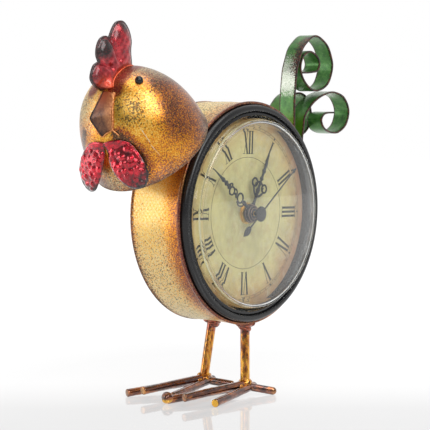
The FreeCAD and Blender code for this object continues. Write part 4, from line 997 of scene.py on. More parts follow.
def build_wattle(side, word):
    """Convex leaf of hammered sheet with a turned rim."""
    root = WATTLE_ROOT * (1, side, 1)
    tip = WATTLE_TIP * (1, side, 1)
    along = tip - root
    length = np.linalg.norm(along)
    along /= length
    middle = root + along * length / 2
    foot = HEAD_CENTRE + HEAD_AXIS * ((middle - HEAD_CENTRE) @ HEAD_AXIS)
    out = middle - foot
    out -= along * (out @ along)
    out /= np.linalg.norm(out)
    turn = side * WATTLE_TWIST
    out = out * math.cos(turn) + np.cross(along, out) * math.sin(turn)
    across = np.cross(along, out)
    inner = [(-0.16, 1.4), (0.01, 4.4), (0.17, 7.3), (0.40, 9.8), (0.62, 10.1), (0.88, 7.2)]
    outer = [(0.88, -7.2), (0.66, -10.0), (0.42, -10.2), (0.18, -8.2), (-0.01, -5.4), (-0.13, -2.2)]
    rows = inner + [(1.0, 0.0)] + outer
    outline = smooth_curve([(length * u, -side * w) for u, w in rows], 9)
    rng = np.random.default_rng(11 if side < 0 else 23)
    dents = []
    for i in range(12):
        for j in range(7):
            shift = 2.1 if i % 2 else 0.0
            lengthwise = i * 3.8 - 6.0 + rng.normal(0, 0.8)
            sideways = (j - 3) * 4.3 + shift + rng.normal(0, 0.8)
            dents.append((lengthwise, sideways, rng.uniform(0.5, 1.7)))

    def lift(flat):
        r2 = (flat[:, 0] - length / 2) ** 2 + flat[:, 1] ** 2
        height = WATTLE_STANDOFF + 0.9 - WATTLE_BULGE_RADIUS + np.sqrt(WATTLE_BULGE_RADIUS ** 2 - r2)
        d = polygon_distance(flat, outline)
        for u, w, depth in dents:
            r = np.hypot(flat[:, 0] - u, flat[:, 1] - w) / 2.6
            height = height + 0.75 * depth * (1 - fade(r, 0, 1)) * fade(d, 0.4, 1.8)
        height = height - 0.5 * (1 - fade(d, 0.0, 1.0))
        shift = np.outer(flat[:, 0] - length / 2, along) + np.outer(flat[:, 1], across)
        shift = shift + np.outer(height, out)
        return clear_of_head(roll_face(middle + shift), 0.8 + 0.4 * fade(d, 0, 2))

    def dark(flat):
        d = polygon_distance(flat, outline)
        tip_end = fade(flat[:, 0] / length, 0.66, 0.98)
        bump_crowns = np.zeros(len(flat))
        for u, w, depth in dents:
            bump_crowns = np.maximum(bump_crowns, 1 - fade(np.hypot(flat[:, 0] - u, flat[:, 1] - w), 0.8, 2.4))
        # Away from the bump crowns the red is darkened: painted shade in the hollows between the hammered
        # bumps; the dark rim and tip are paint.
        return 0.60 * (1 - fade(d, 0.0, 1.3)) + 0.80 * tip_end + 0.42 * (1 - bump_crowns)

    paints = {"dark": dark, "warm": lambda flat: np.zeros(len(flat))}
    piece = outline_sheet("wattle_leaf_" + word, outline, 0.5, lift, paints)
    add_modifier(piece, "SOLIDIFY", thickness=0.8 * MM, offset=0)
    apply_modifiers(piece)
    fix_normals(piece)
    return place(piece, "wattle_" + word, M["wattle"])


# ------------------------------------------------------------------ beak
BEAK_RIDGE = [
    (-123.6, 0, 82.6), (-130.5, 0, 75.0), (-138.3, 0, 66.8),
    (-137.9, 0, 63.6), (-133.4, 0, 59.1), (-127.4, 0, 54.0),
]
BEAK_SEAM = [
    (-123.6, 7.9, 80.3), (-125.9, 8.4, 73.7), (-127.1, 8.5, 66.8), (-127.1, 8.2, 61.5), (-127.1, 7.7, 57.6),
]
BEAK_FAR_SHARE = [0.10, 0.45, 0.72, 0.60, 0.42]
BEAK_SPUR = (-125.0, 10.7, 53.9)
BEAD = 0.52


def build_beak():
    """Folded diamond of sheet: ridge in the middle, slightly hollow cheeks and beaded seams on the head."""
    rows = 61
    columns = 15
    ridge = smooth_curve(BEAK_RIDGE, 12)
    shells = []
    beads = []
    for side in (-1, 1):
        shares = BEAK_FAR_SHARE if side > 0 else [1.0] * 5
        seam = smooth_curve([(x, side * y * share, z) for (x, y, z), share in zip(BEAK_SEAM, shares)], 15)
        vertices = []
        edge = []
        fold = []
        red = []
        for i in range(rows):
            for k in range(columns):
                t = k / (columns - 1)
                hollow = 0.6 * math.sin(math.pi * t) * math.sin(math.pi * i / (rows - 1))
                vertices.append(ridge[i] * (1 - t) + seam[i] * t + np.array([hollow, 0, 0]))
                # Towards the seam the face is given the same bright orange: painted highlight.
                edge.append(0.40 * float(fade(t, 0.45, 0.85)) + 0.5 * float(fade(t, 0.88, 0.97)))
                fold.append(0.95 * (1 - float(fade(t, 0.03, 0.15))))
                red.append(0.9 * (1 - float(fade(i / rows, 0.05, 0.40))))
        faces = []
        for i in range(rows - 1):
            for k in range(columns - 1):
                a = i * columns + k
                faces.append((a, a + 1, a + columns + 1, a + columns))
        paints = {"edge": edge, "ridge": fold, "red": red}
        shells.append(make_object("beak_side", roll_face(vertices), faces, paints))
        lift = np.array([-0.35, side * 0.35, 0.0])
        radii = BEAD + 0.10 * np.sin(np.arange(rows) * 0.55) + 0.70 * np.exp(-(np.arange(rows) / 6.0) ** 2)
        beads.append(tube("bead", roll_face(seam + lift), BEAD, 14, radii))
        apex = seam[-1]
        spur = np.array([BEAK_SPUR[0], side * BEAK_SPUR[1] * shares[-1], BEAK_SPUR[2]])
        for end in (ridge[-1], spur):
            path = smooth_curve([apex, apex * 0.5 + end * 0.5 + (-0.5, 0, 0.4), end], 8)
            beads.append(tube("bead", roll_face(path + lift), BEAD * 0.85, 14))
    piece = fix_normals(join("beak_fold", shells), 0.02)
    add_modifier(piece, "SOLIDIFY", thickness=0.8 * MM, offset=-1)
    apply_modifiers(piece)
    place(piece, "beak", M["copper"])
    seams = join("beak_seams", beads)
    # Seam beads painted bright orange all over: painted highlight along the rolled lip.
    paint_by_place(seams, even_paint(edge=1, ridge=0, red=0))
    add_detail(seams, NODES["beak"]["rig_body"], M["copper"])


# ------------------------------------------------------------------ tail
TAIL_LARGE = [
    (75.7, -2), (75.2, 10), (72.6, 22), (70.0, 34), (69.0, 48), (68.5, 64), (69.0, 82), (71.6, 99),
    (79.5, 114), (93.4, 122.0), (107.5, 116), (115.2, 102.5), (110.5, 88.5), (95.5, 82.6), (82.0, 87.6),
    (75.8, 98.0),
    (79.0, 107.0), (87.5, 110.6), (95.5, 107.6), (98.8, 101.8), (96.0, 97.0), (88.0, 95.9), (77.5, 95.4),
]
TAIL_SMALL = [
    (77.1, -2), (77.4, 10), (77.3, 24), (77.6, 38), (78.4, 52), (80.8, 63), (86.0, 69.6), (93.0, 74.6),
    (104.5, 79.6), (118.1, 81.4), (131.0, 77), (137.2, 67.5), (133.5, 57.5), (124.5, 52.4), (114.5, 51.8),
    (105.5, 55), (101.8, 60.6), (104.3, 65.0), (110.0, 66.3), (117.6, 66.6),
]
TAIL_REAR = [
    (64.9, 38.4), (62.5, 46), (65.0, 56), (72.0, 68), (82.0, 77.5), (93.0, 81.0), (103.0, 77.0),
    (108.0, 68.0), (106.5, 58.0), (99.0, 51.5), (90.5, 52.5), (86.5, 59.0), (89.0, 65.0), (95.0, 67.0),
]


def ribbon(name, points, y0, y1, seed):
    """Flat strip with softly rounded edges and slightly wandering cut sides."""
    path = smooth_curve(points, 14)
    tangent = np.gradient(path, axis=0)
    tangent /= np.linalg.norm(tangent, axis=1)[:, None]
    normal = np.column_stack([-tangent[:, 1], tangent[:, 0]])
    rng = np.random.default_rng(seed)
    phase = rng.uniform(0, 6, 4)
    run = np.concatenate([[0], np.cumsum(np.linalg.norm(np.diff(path, axis=0), axis=1))])
    half = STRIP_THICK / 2
    width = y1 - y0
    across = 11
    corner = 0.32
    flat = (1 - 2 * corner / width) * width
    section = [(corner + flat * k / (across - 1), half) for k in range(across)]
    section += [(width - 0.08, half - 0.12), (width, 0.0), (width - 0.08, -half + 0.12)]
    section += [(y, -half) for y, _ in reversed(section[:across])]
    section += [(0.08, -half + 0.12), (0.0, 0.0), (0.08, half - 0.12)]
    count = len(section)
    vertices = []
    edge = []
    foot = []
    frost_and_highlight = []
    for i in range(len(path)):
        wander = 0.16 * math.sin(run[i] * 0.11 + phase[0]) + 0.07 * math.sin(run[i] * 0.43 + phase[1])
        bend = 0.10 * math.sin(run[i] * 0.35 + phase[2])
        for y, h in section:
            at_y = y0 + y + wander
            cup = bend + 0.10 * math.cos(math.pi * (y / width - 0.5)) * math.sin(run[i] * 0.2 + phase[3])
            x, z = path[i] + normal[i] * (h + cup)
            vertices.append((x, at_y, z))
            from_side = min(y, width - y)
            height = path[i][1]
            worn = 0.74 * fade(height, 84, 102) * (1 - fade(y, 1, 13)) * (run[i] < 130)
            edge.append(float(max(1 - fade(from_side, 0.1, 1.9), worn)) if abs(h) > 0.5 else 1.0)
            foot.append(float((1 - fade(height, 60, 84)) * (1 - fade(run[i], 60, 75))))
            # Whitish band on the front of the strips: partly frosted paint, partly painted highlight.
            frost_and_highlight.append(float(fade(height, 76, 88) * (1 - fade(height, 94, 112)) * (run[i] < 130)))
    faces = []
    for i in range(len(path) - 1):
        for k in range(count):
            m = (k + 1) % count
            faces.append((i * count + k, i * count + m, (i + 1) * count + m, (i + 1) * count + k))
    faces.append(tuple(range(count)))
    faces.append(tuple((len(path) - 1) * count + k for k in range(count)))
    return fix_normals(make_object(name, vertices, faces, {"edge": edge, "foot": foot, "frost_and_highlight": frost_and_highlight}))


def build_tail():
    half = STRIP_WIDTH / 2
    strips = [
        ("large", TAIL_LARGE, -half, half, 3),
        ("small", TAIL_SMALL, -half, half, 5),
        ("rear", TAIL_REAR, half + 0.4, half + 0.4 + STRIP_WIDTH, 9),
    ]
    for word, points, y0, y1, seed in strips:
        piece = ribbon("tail_ribbon_" + word, points, y0, y1, seed)
        place(piece, "tail_curl_" + word, M["green"], 40)


# ------------------------------------------------------------------ legs and feet
def lumpy(points, amount, scale, seed):
    """Adds a smooth uneven swell to an array of points, away from their middle."""
    rng = np.random.default_rng(seed)
    waves = rng.normal(0, 1, (6, 3))
    phase = rng.uniform(0, 6.28, 6)
    swell = sum(np.sin(points @ waves[i] * scale + phase[i]) for i in range(6)) / 6
    return swell * amount


def bar(name, start, end, radius, seed, round_end=False, painted_highlight=0.0):
    """Rod with a drawn, uneven lacquered skin; its cut end may carry a painted highlight in bright amber."""
    start = np.array(start, float)
    end = np.array(end, float)
    length = np.linalg.norm(end - start)
    steps = max(12, int(length / 1.2))
    share = np.linspace(0, 1, steps)
    radii = np.full(steps, radius)
    path = start + np.outer(share, end - start)
    direction = (end - start) / length
    cap_path = []
    cap_radii = []
    if round_end:
        for i in range(1, 9):
            a = math.pi / 2 * i / 8
            cap_path.append(end + direction * radius * math.sin(a))
            cap_radii.append(max(radius * math.cos(a), 0.02))
    else:
        for r, h in ((radius - 0.1, 0.02), (radius - 0.35, 0.18), (radius * 0.6, 0.24), (0.05, 0.26)):
            cap_path.append(end + direction * (h - 0.26))
            cap_radii.append(r)
        path[-1] = end - direction * 0.45
    path = np.vstack([path, cap_path])
    radii = np.concatenate([radii, cap_radii])
    piece = tube(name, path, radius, 28, radii)
    co = np.array([v.co for v in piece.data.vertices])
    local = (co - np.array(CENTRE)) / MM
    axis_point = start + np.outer((local - start) @ direction, direction)
    out = local - axis_point
    reach = np.linalg.norm(out, axis=1)
    out /= np.maximum(reach, 0.01)[:, None]
    swell = lumpy(local, 0.13, 0.9, seed) * fade(reach, radius * 0.5, radius * 0.9)
    local = local + out * swell[:, None]
    piece.data.vertices.foreach_set("co", (local * MM + np.array(CENTRE)).ravel())
    along = (local - start) @ direction
    bright = painted_highlight * fade(along, length - 0.30, length - 0.12)
    layer = piece.data.attributes.new("tip", "FLOAT", "POINT")
    layer.data.foreach_set("value", bright.astype(np.float32))
    return piece


def blob(name, centre, size, seed, direction=(0, 0, 1)):
    """Weld bead: a lumpy flattened ball."""
    work = bmesh.new()
    bmesh.ops.create_icosphere(work, subdivisions=4, radius=1.0)
    co = np.array([v.co for v in work.verts])
    swell = 1 + lumpy(co, 0.22, 2.2, seed) + lumpy(co, 0.10, 5.0, seed + 1)
    u, w = basis(direction)
    a = np.array(direction, float) / np.linalg.norm(direction)
    co = co * swell[:, None]
    placed = np.array(centre) + np.outer(co[:, 0] * size[0], u) + np.outer(co[:, 1] * size[1], w)
    placed = placed + np.outer(co[:, 2] * size[2], a)
    faces = [tuple(v.index for v in f.verts) for f in work.faces]
    work.free()
    piece = make_object(name, placed, faces, {"tip": np.zeros(len(placed))})
    return fix_normals(piece)


def build_leg(side, word):
    near = side < 0
    top = np.array([-0.6 if near else 1.5, -16.0 if near else 14.0, -72.6])
    ankle = np.array([-4.3 if near else -4.7, -19.0 if near else 17.0, FLOOR_Z + 7.5])
    shaft = bar("shaft", ankle, top, LEG_RADIUS, 31 + side)
    up = (top - ankle) / np.linalg.norm(top - ankle)
    y_top = top[1]
    welds = [
        blob("weld", (top[0], y_top, -76.4), (5.4, 5.8, 2.4), 41 + side, up),
        blob("weld", (top[0] - 0.3, y_top, -78.2), (4.3, 4.5, 3.4), 43 + side, up),
        blob("weld", (top[0] + 3.2, y_top - 2.2, -75.9), (3.0, 3.4, 1.8), 47 + side),
        blob("weld", (top[0] - 3.6, y_top + 1.6, -76.0), (2.6, 3.0, 1.9), 53 + side),
        blob("weld", ankle + (0, 0, 0.2), (4.9, 5.1, 4.6), 59 + side),
        blob("weld", ankle + (3.0, -2.0, -2.0), (4.2, 3.8, 2.9), 61 + side),
        blob("weld", ankle + (-4.8, 0.8, -1.2), (4.6, 3.9, 2.7), 67 + side),
    ]
    piece = join("leg_rod_" + word, [shaft] + welds)

    def rust(p):
        at_drum = 0.72 * fade(p[:, 2], -93, -77)
        at_ankle = 0.5 * fade(-p[:, 2] + ankle[2] + 4, 0, 9)
        return {"rust": at_drum + at_ankle}
    paint_by_place(piece, rust)
    place(piece, "leg_" + word, M["amber"])
    build_toes(ankle, word, side)


# Strength of the painted highlight on each toe's cut end.
TOE_END_HIGHLIGHT = {"right": {"inner": 1.0, "outer": 0.5, "middle": 0.08}, "left": {"middle": 0.22}}


def build_toes(ankle, word, side):
    heart = np.array([ankle[0], ankle[1], FLOOR_Z + 6.0])
    low = FLOOR_Z + TOE_RADIUS + 0.15

    def tip(angle, length, z):
        a = math.radians(angle)
        return np.array([heart[0] - length * math.cos(a), heart[1] + length * math.sin(a), z])

    ends = {
        "inner": (heart + (8.0, -1.5, -0.6), tip(-12.5, 45.5, low)),
        "outer": (heart, tip(20.5, 60.0, low)),
        "middle": (heart + (0, 0, 1.5), tip(5.0, 58.0, FLOOR_Z + 6.5)),
        "back": (heart, np.array([heart[0] + 11.6, heart[1] - 14.8, low])),
    }
    for i, (name, (start, end)) in enumerate(ends.items()):
        back = name == "back"
        painted_highlight = TOE_END_HIGHLIGHT[word].get(name, 0.12)
        title = "toe_rod_" + word + "_" + name
        piece = bar(title, start, end, TOE_RADIUS + 0.10, 71 + 5 * i + side, back, painted_highlight)
        if word == "right" and name == "outer":
            knob = blob("knob", end + (0.9, 0.4, 1.3), (4.3, 3.9, 3.7), 91)
            # The knob's foot is painted bright amber: painted highlight.
            paint_by_place(knob, lambda p: {"tip": 0.9 * (1 - fade(p[:, 2] - FLOOR_Z, 2.2, 4.2))})
            piece = join("toe_rod_right_outer", [piece, knob])
        place(piece, "toe_" + word + "_" + name, M["rod"])


# ------------------------------------------------------------------ clock insert
def build_bezel():
    """Moulded ring: outer wall, rounded front bead, a step and the ledge that holds the lens."""
    rows = [(BEZEL_RADIUS, -15.2)]
    for i in range(15):
        a = math.radians(90 * i / 14)
        rows.append((BEZEL_RADIUS - 2.8 + 2.8 * math.cos(a), -22.2 - 2.8 * math.sin(a)))
    rows += [(69.6, -25.0), (69.2, -24.9), (68.9, -24.6)]
    for i in range(8):
        a = math.radians(90 * i / 7)
        rows.append((66.2 + 2.4 * math.cos(a), -22.9 - 1.3 * math.sin(a)))
    rows += [(66.1, -20.4), (64.3, -20.4), (64.3, -16.0), (65.5, -16.0), (65.5, -15.2)]
    piece = lathe("bezel_moulding", rows, segments=256)
    return place(piece, "bezel_ring", M["bezel"], 35)


def build_lens():
    """Clear cup with a soft corner between wall and dome."""
    def skin(thinner):
        corner, corner_y, crown_y = 62.6 - thinner, -29.0 + thinner, -34.0 + thinner
        sag = corner_y - crown_y
        sphere = (corner ** 2 + sag ** 2) / (2 * sag)
        rows = [(LENS_RADIUS - thinner, -20.5), (LENS_RADIUS - thinner, -22.5), (corner + 1.7, -24.0)]
        rows += [(corner + 1.2, -26.2), (corner + 0.9, -27.8)]
        for i in range(5):
            a = math.radians(20 + 55 * i / 4)
            rows.append((corner - 0.5 + 1.2 * math.cos(a), corner_y + 0.6 - 1.2 * math.sin(a)))
        for i in range(25):
            r = (corner - 1.0) * (1 - i / 24)
            rows.append((r, crown_y + sphere - math.sqrt(sphere ** 2 - r ** 2)))
        return rows
    piece = lathe("lens_cup", skin(0.0) + skin(1.3)[::-1], segments=256)

    # The wall field marks the right part of the side wall, where the painted reflection goes.
    def wall(p):
        radius = np.hypot(p[:, 0], p[:, 2])
        return {"wall": fade(radius, 61.0, 62.8) * fade(p[:, 0], 5, 45)}
    paint_by_place(piece, wall)
    return place(piece, "lens", M["acrylic"])


def build_dial():
    rows = [(4.1, DIAL_FRONT)] + [(r, DIAL_FRONT) for r in np.linspace(8, 65.2, 30)]
    rows += [(65.4, DIAL_FRONT + 0.1), (65.4, DIAL_FRONT + 0.5), (4.1, DIAL_FRONT + 0.5)]
    piece = lathe("dial_face", rows, segments=192)

    def paint(p):
        radius = np.hypot(p[:, 0], p[:, 2])
        blush = fade(radius, 44, 64) * fade(p[:, 0] * 0.9 - p[:, 2] * 0.25, 10, 60)
        return {"radius": (radius / 66) ** 1.6, "blush": blush}
    paint_by_place(piece, paint)
    return place(piece, "dial_disc", M["paper"], 40)


def stroke(a, b, width_a, width_b=None):
    """Four corners of a printed stroke between two points."""
    a = np.array(a, float)
    b = np.array(b, float)
    d = (b - a) / np.linalg.norm(b - a)
    n = np.array([-d[1], d[0]])
    wa = width_a / 2
    wb = (width_b if width_b is not None else width_a) / 2
    return [a + n * wa, b + n * wb, b - n * wb, a - n * wa]


THICK = 1.55
HAIR = 0.42
SERIF = 0.38
NUMERAL_HEIGHT = 15.6
NUMERAL_FOOT = 40.0
PRINTED_RINGS = ((37.8, 0.28), (57.2, 0.20), (58.9, 0.20))
MINUTE_DOTS = 58.05
INK_FILM = 0.05


def glyph(letter, x, height):
    """Strokes of one Roman letter that starts at x, and its advance."""
    strokes = []

    def serif(centre, y, half):
        strokes.append(stroke((centre - half, y), (centre + half, y), SERIF))
    if letter == "I":
        strokes.append(stroke((x + 1.2, 0), (x + 1.2, height), THICK))
        serif(x + 1.2, SERIF / 2, 1.45)
        serif(x + 1.2, height - SERIF / 2, 1.45)
        return strokes, 2.9
    if letter == "V":
        strokes.append(stroke((x + 1.0, height), (x + 2.9, 0), THICK))
        strokes.append(stroke((x + 4.9, height), (x + 3.0, 0), HAIR))
        serif(x + 1.1, height - SERIF / 2, 1.4)
        serif(x + 4.8, height - SERIF / 2, 1.0)
        return strokes, 5.9
    strokes.append(stroke((x + 1.0, height), (x + 4.6, 0), THICK))
    strokes.append(stroke((x + 4.6, height), (x + 1.0, 0), HAIR))
    for centre in (x + 1.1, x + 4.5):
        serif(centre, SERIF / 2, 1.2)
        serif(centre, height - SERIF / 2, 1.2)
    return strokes, 5.6


def build_print():
    """Numerals, rings and minute dots as a thin film of ink on the dial."""
    top = DIAL_FRONT - INK_FILM
    vertices = []
    faces = []

    def prism(corners):
        first = len(vertices)
        for y in (DIAL_FRONT - 0.005, top):
            vertices.extend((c[0], y, c[1]) for c in corners)
        n = len(corners)
        faces.append(tuple(range(first, first + n)))
        faces.append(tuple(range(first + 2 * n - 1, first + n - 1, -1)))
        for i in range(n):
            j = (i + 1) % n
            faces.append((first + i, first + j, first + n + j, first + n + i))

    def turned(corners, degrees, radius):
        a = math.radians(degrees)
        right = np.array([math.cos(a), -math.sin(a)])
        up = np.array([math.sin(a), math.cos(a)])
        return [right * c[0] + up * (c[1] + radius) for c in corners]

    numerals = ["XII", "I", "II", "III", "IV", "V", "VI", "VII", "VIII", "IX", "X", "XI"]
    for hour, text in enumerate(numerals):
        strokes = []
        x = 0.0
        for letter in text:
            more, advance = glyph(letter, x, NUMERAL_HEIGHT)
            strokes += more
            x += advance
        for corners in strokes:
            shifted = [(c[0] - x / 2 + 0.2, c[1]) for c in corners]
            prism(turned(shifted, 30 * hour + CLOCK_TURN, NUMERAL_FOOT))
    for radius, width in PRINTED_RINGS:
        for i in range(120):
            a, b = (math.radians(3 * i), math.radians(3 * i + 3))
            inner, outer = radius - width / 2, radius + width / 2
            corners = ((inner, a), (outer, a), (outer, b), (inner, b))
            prism([(r * math.sin(t), r * math.cos(t)) for r, t in corners])
    for minute in range(60):
        size = 0.62 if minute % 5 == 0 else 0.34
        corners = [(-size, -size), (size, -size), (size, size), (-size, size)]
        prism(turned(corners, 6 * minute + CLOCK_TURN, MINUTE_DOTS))
    piece = fix_normals(make_object("dial_print", vertices, faces, smooth=False), 0.001)
    return add_detail(piece, NODES["dial_disc"]["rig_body"], M["ink"])


# ------------------------------------------------------------------ hands
def cut_plate(name, shapes, y, degrees, thick=0.5, bevel=0.07):
    """Plates from closed (x, z) outlines, each with its holes, turned clockwise about the clock axis."""
    pieces = []
    for outline, holes in shapes:
        curve = bpy.data.curves.new(name, "CURVE")
        curve.dimensions = "2D"
        curve.fill_mode = "BOTH"
        curve.extrude = (thick / 2 - bevel) * MM
        curve.bevel_depth = bevel * MM
        curve.bevel_resolution = 1
        curve.offset = -bevel * MM
        for loop in [outline] + holes:
            line = curve.splines.new("POLY")
            line.points.add(len(loop) - 1)
            for i, (x, z) in enumerate(loop):
                line.points[i].co = (x * MM, z * MM, 0, 1)
            line.use_cyclic_u = True
        holder = bpy.data.objects.new(name, curve)
        bpy.context.scene.collection.objects.link(holder)
        bpy.context.view_layer.update()
        graph = bpy.context.evaluated_depsgraph_get()
        mesh = bpy.data.meshes.new_from_object(holder.evaluated_get(graph))
        bpy.data.objects.remove(holder)
        piece = bpy.data.objects.new(name, mesh)
        bpy.context.scene.collection.objects.link(piece)
        pieces.append(piece)
    whole = join(name, pieces)
    stand = Matrix.Rotation(math.radians(90), 4, "X")
    turn = Matrix.Rotation(math.radians(degrees), 4, "Y")
    whole.data.transform(Matrix.Translation(point((0, y, 0))) @ turn @ stand)
    return fix_normals(whole, 0.002)


def circle(x, z, radius, steps=40, squash=1.0, lean=0.0):
    """Points of a circle or leaning ellipse."""
    rows = []
    for i in range(steps):
        a = 2 * math.pi * i / steps
        u, w = radius * math.cos(a), radius * squash * math.sin(a)
        c, s = math.cos(lean), math.sin(lean)
        rows.append((x + u * c - w * s, z + u * s + w * c))
    return rows


def spindle(stations):
    """Smooth symmetric blade outline from (distance, half width) stations."""
    right = smooth_curve([(w, d) for d, w in stations], 6)
    left = [(-x, z) for x, z in reversed([tuple(p) for p in right])]
    return [tuple(p) for p in right] + left


def scroll(x, z, outer, inner, squash=1.0, lean=0.0):
    """A ring: its outer outline and its hole."""
    return (circle(x, z, outer, squash=squash, lean=lean), [circle(x, z, inner, squash=squash, lean=lean)])


def curl_bar(points, width):
    """A curved bar of even width through points."""
    path = smooth_curve(points, 8)
    tangent = np.gradient(path, axis=0)
    tangent /= np.linalg.norm(tangent, axis=1)[:, None]
    normal = np.column_stack([-tangent[:, 1], tangent[:, 0]]) * width / 2
    taper = np.ones(len(path))
    taper[:3] = (0.5, 0.8, 0.95)
    taper[-3:] = (0.95, 0.8, 0.5)
    normal = normal * taper[:, None]
    return [tuple(p) for p in path + normal] + [tuple(p) for p in (path - normal)[::-1]]


RING_SECTION = 0.28


def hub_rings(name, body, rings):
    """Copper-coloured raised rings on a hand's hub, each given as (radius, y)."""
    pieces = []
    for radius, y in rings:
        turns = [math.radians(30 * i) for i in range(12)]
        rows = [(radius + RING_SECTION * math.cos(a), y + RING_SECTION * math.sin(a)) for a in turns]
        pieces.append(lathe("ring", rows, segments=72))
    add_detail(join(name, pieces), body, M["collar"])


def build_hour_hand():
    shapes = [
        (circle(0, 0, 6.6, 56), [circle(0, 0, 2.55)]),
        (spindle([(5.6, 2.3), (8.0, 1.3), (11.5, 1.1), (13.3, 1.9), (15.2, 1.1)]), []),
        (spindle([(14.6, 1.0), (17.2, 1.9), (19.6, 1.0), (22.4, 1.3), (24.4, 0.8), (25.9, 1.9), (27.6, 1.0),
                  (30.0, 1.1), (31.7, 2.0), (33.4, 1.1), (36.7, 1.5), (40.0, 0.7), (44.0, 0.22)]), []),
    ]
    for hand in (-1, 1):
        shapes.append(scroll(hand * 5.7, 20.8, 3.3, 2.0))
        shapes.append((curl_bar([(0, 12.6), (hand * 3.0, 14.2), (hand * 5.6, 17.6)], 1.5), []))
        shapes.append((curl_bar([(hand * 0.6, 23.6), (hand * 2.6, 22.2), (hand * 3.0, 19.8)], 1.1), []))
        shapes.append((curl_bar([(hand * 5.9, 17.8), (hand * 4.3, 19.2), (hand * 4.6, 21.2)], 0.9), []))
    plate = cut_plate("hour_plate", shapes, HOUR_PLANE, HOUR_ANGLE)
    rows = [(2.55, -20.6), (4.4, -20.6), (4.7, -20.3), (4.7, -18.9), (4.4, -18.6), (2.55, -18.6)]
    hub = lathe("hour_hub", rows, segments=64)
    piece = place(join("hour_hand_cut", [plate, hub]), "hour_hand", M["hand"], 35)
    hub_rings("hour_hub_rings", NODES["hour_hand"]["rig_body"], [(6.0, -19.9), (4.4, -20.6)])
    return piece


def build_minute_hand():
    shapes = [
        (circle(0, 0, 5.8, 56), [circle(0, 0, 1.6)]),
        (spindle([(5.0, 2.3), (7.0, 1.2), (10.5, 1.0), (12.2, 1.8), (14.0, 1.2)]), []),
        scroll(0.3, 17.9, 3.9, 2.6, 0.92, 0.2),
        (curl_bar([(-0.4, 12.0), (-3.2, 13.6), (-4.6, 16.8), (-3.4, 19.8)], 1.1), []),
        (curl_bar([(-2.2, 21.6), (-0.4, 23.0), (-0.6, 25.4)], 1.6), []),
        (curl_bar([(0.2, 22.2), (2.0, 23.4), (2.6, 25.2), (1.6, 26.4)], 1.0), []),
        scroll(-0.7, 28.1, 3.4, 2.2, 0.9, -0.3),
        (curl_bar([(1.9, 29.4), (3.3, 30.4), (2.6, 32.0), (0.8, 32.2)], 1.0), []),
        (spindle([(30.6, 1.2), (32.4, 2.1), (34.2, 1.0), (36.2, 1.9), (38.0, 0.9), (39.8, 1.6), (42.4, 0.9),
                  (47.0, 0.55), (52.4, 0.25)]), []),
    ]
    plate = cut_plate("minute_plate", shapes, MINUTE_PLANE, MINUTE_ANGLE)
    rows = [(1.6, -22.9), (3.6, -22.9), (3.9, -22.6), (3.9, -21.0), (1.6, -21.0)]
    hub = lathe("minute_hub", rows, segments=64)
    piece = place(join("minute_hand_cut", [plate, hub]), "minute_hand", M["hand"], 35)
    hub_rings("minute_hub_rings", NODES["minute_hand"]["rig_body"], [(5.3, -22.1), (3.7, -22.9)])
    return piece


def build_second_hand():
    shapes = [
        (spindle([(-23.2, 0.15), (-21.6, 1.2), (-19.4, 2.35), (-16.6, 2.5), (-14.4, 1.5), (-12.6, 0.55),
                  (0, 0.55)]), []),
        (spindle([(0, 0.5), (20, 0.5), (43.6, 0.42), (44.6, 0.6), (45.6, 1.7), (46.6, 1.2),
                  (49.1, 0.2)]), []),
    ]
    plate = cut_plate("second_plate", shapes, SECOND_PLANE, SECOND_ANGLE, 0.45, 0.06)
    cap = []
    for i in range(9):
        a = math.radians(90 * i / 8)
        cap.append((4.6 + 0.6 * math.sin(a) if i else 0.0, -29.2 + 0.6 - 0.6 * math.cos(a)))
    rows = cap + [(5.2, -28.3), (1.4, -28.2), (1.3, -27.9), (1.3, -23.5), (0.5, -23.5), (0.5, -28.0),
                  (0.0, -28.0)]
    hub = lathe("second_cap", rows, segments=72)
    return place(join("second_hand_cut", [plate, hub]), "second_hand", M["hand"], 35)


# ------------------------------------------------------------------ carried-over CAD nodes
CAD_LOOKS = {
    "gold": ["rear_panel", "head_back_plate", "neck_tube"],
    "rubber": ["insert_gasket", "rubber_washer"],
    "case": ["insert_case", "movement_housing"],
    "grey": ["movement_cover", "setting_knob"],
    "gear": ["gear_plate", "coil_bobbin", "rotor_pinion", "intermediate_wheel", "second_wheel", "third_wheel",
             "motion_wheel"],
    "brass": ["battery_contact_positive", "battery_contact_negative", "brass_washer", "hex_nut",
              "centre_wheel", "minute_arbor", "hour_wheel"],
    "steel": ["case_screws", "stator", "quartz_crystal", "rotor_magnet"],
    "board": ["circuit_board"],
    "wire": ["coil_winding"],
    "cell": ["battery_cell"],
}


def dress_cad_nodes():
    for look, names in CAD_LOOKS.items():
        for name in names:
            node = NODES[name]
            node.data.materials.clear()
            node.data.materials.append(M[look])
            node.data.polygons.foreach_set("use_smooth", [True] * len(node.data.polygons))
            node.data.set_sharp_from_angle(angle=math.radians(30))
            if look == "gold":
                paint_by_place(node, even_paint(warm=0.55, pale=0.2, red=0, stain=0.1, olive=0, weave=0))


# ------------------------------------------------------------------ stage, light and camera
CAMERA_AZIMUTH = -50.63
CAMERA_ELEVATION = 4.84
CAMERA_DISTANCE = 1.0
CAMERA_LENS = 36 * 1461 / 430
FLOOR_NEAR = 0.76
FLOOR_MATT = 0.25
FLOOR_MIRROR = 0.24
FLOOR_FADE = 420.0
ROOM_DIM = 0.28
ROOM_WALL = 0.95


def look_from(azimuth, elevation):
    """Unit vector from the object towards a viewer."""
    a = math.radians(azimuth)
    e = math.radians(elevation)
    return Vector((math.sin(a) * math.cos(e), -math.cos(a) * math.cos(e), math.sin(e)))


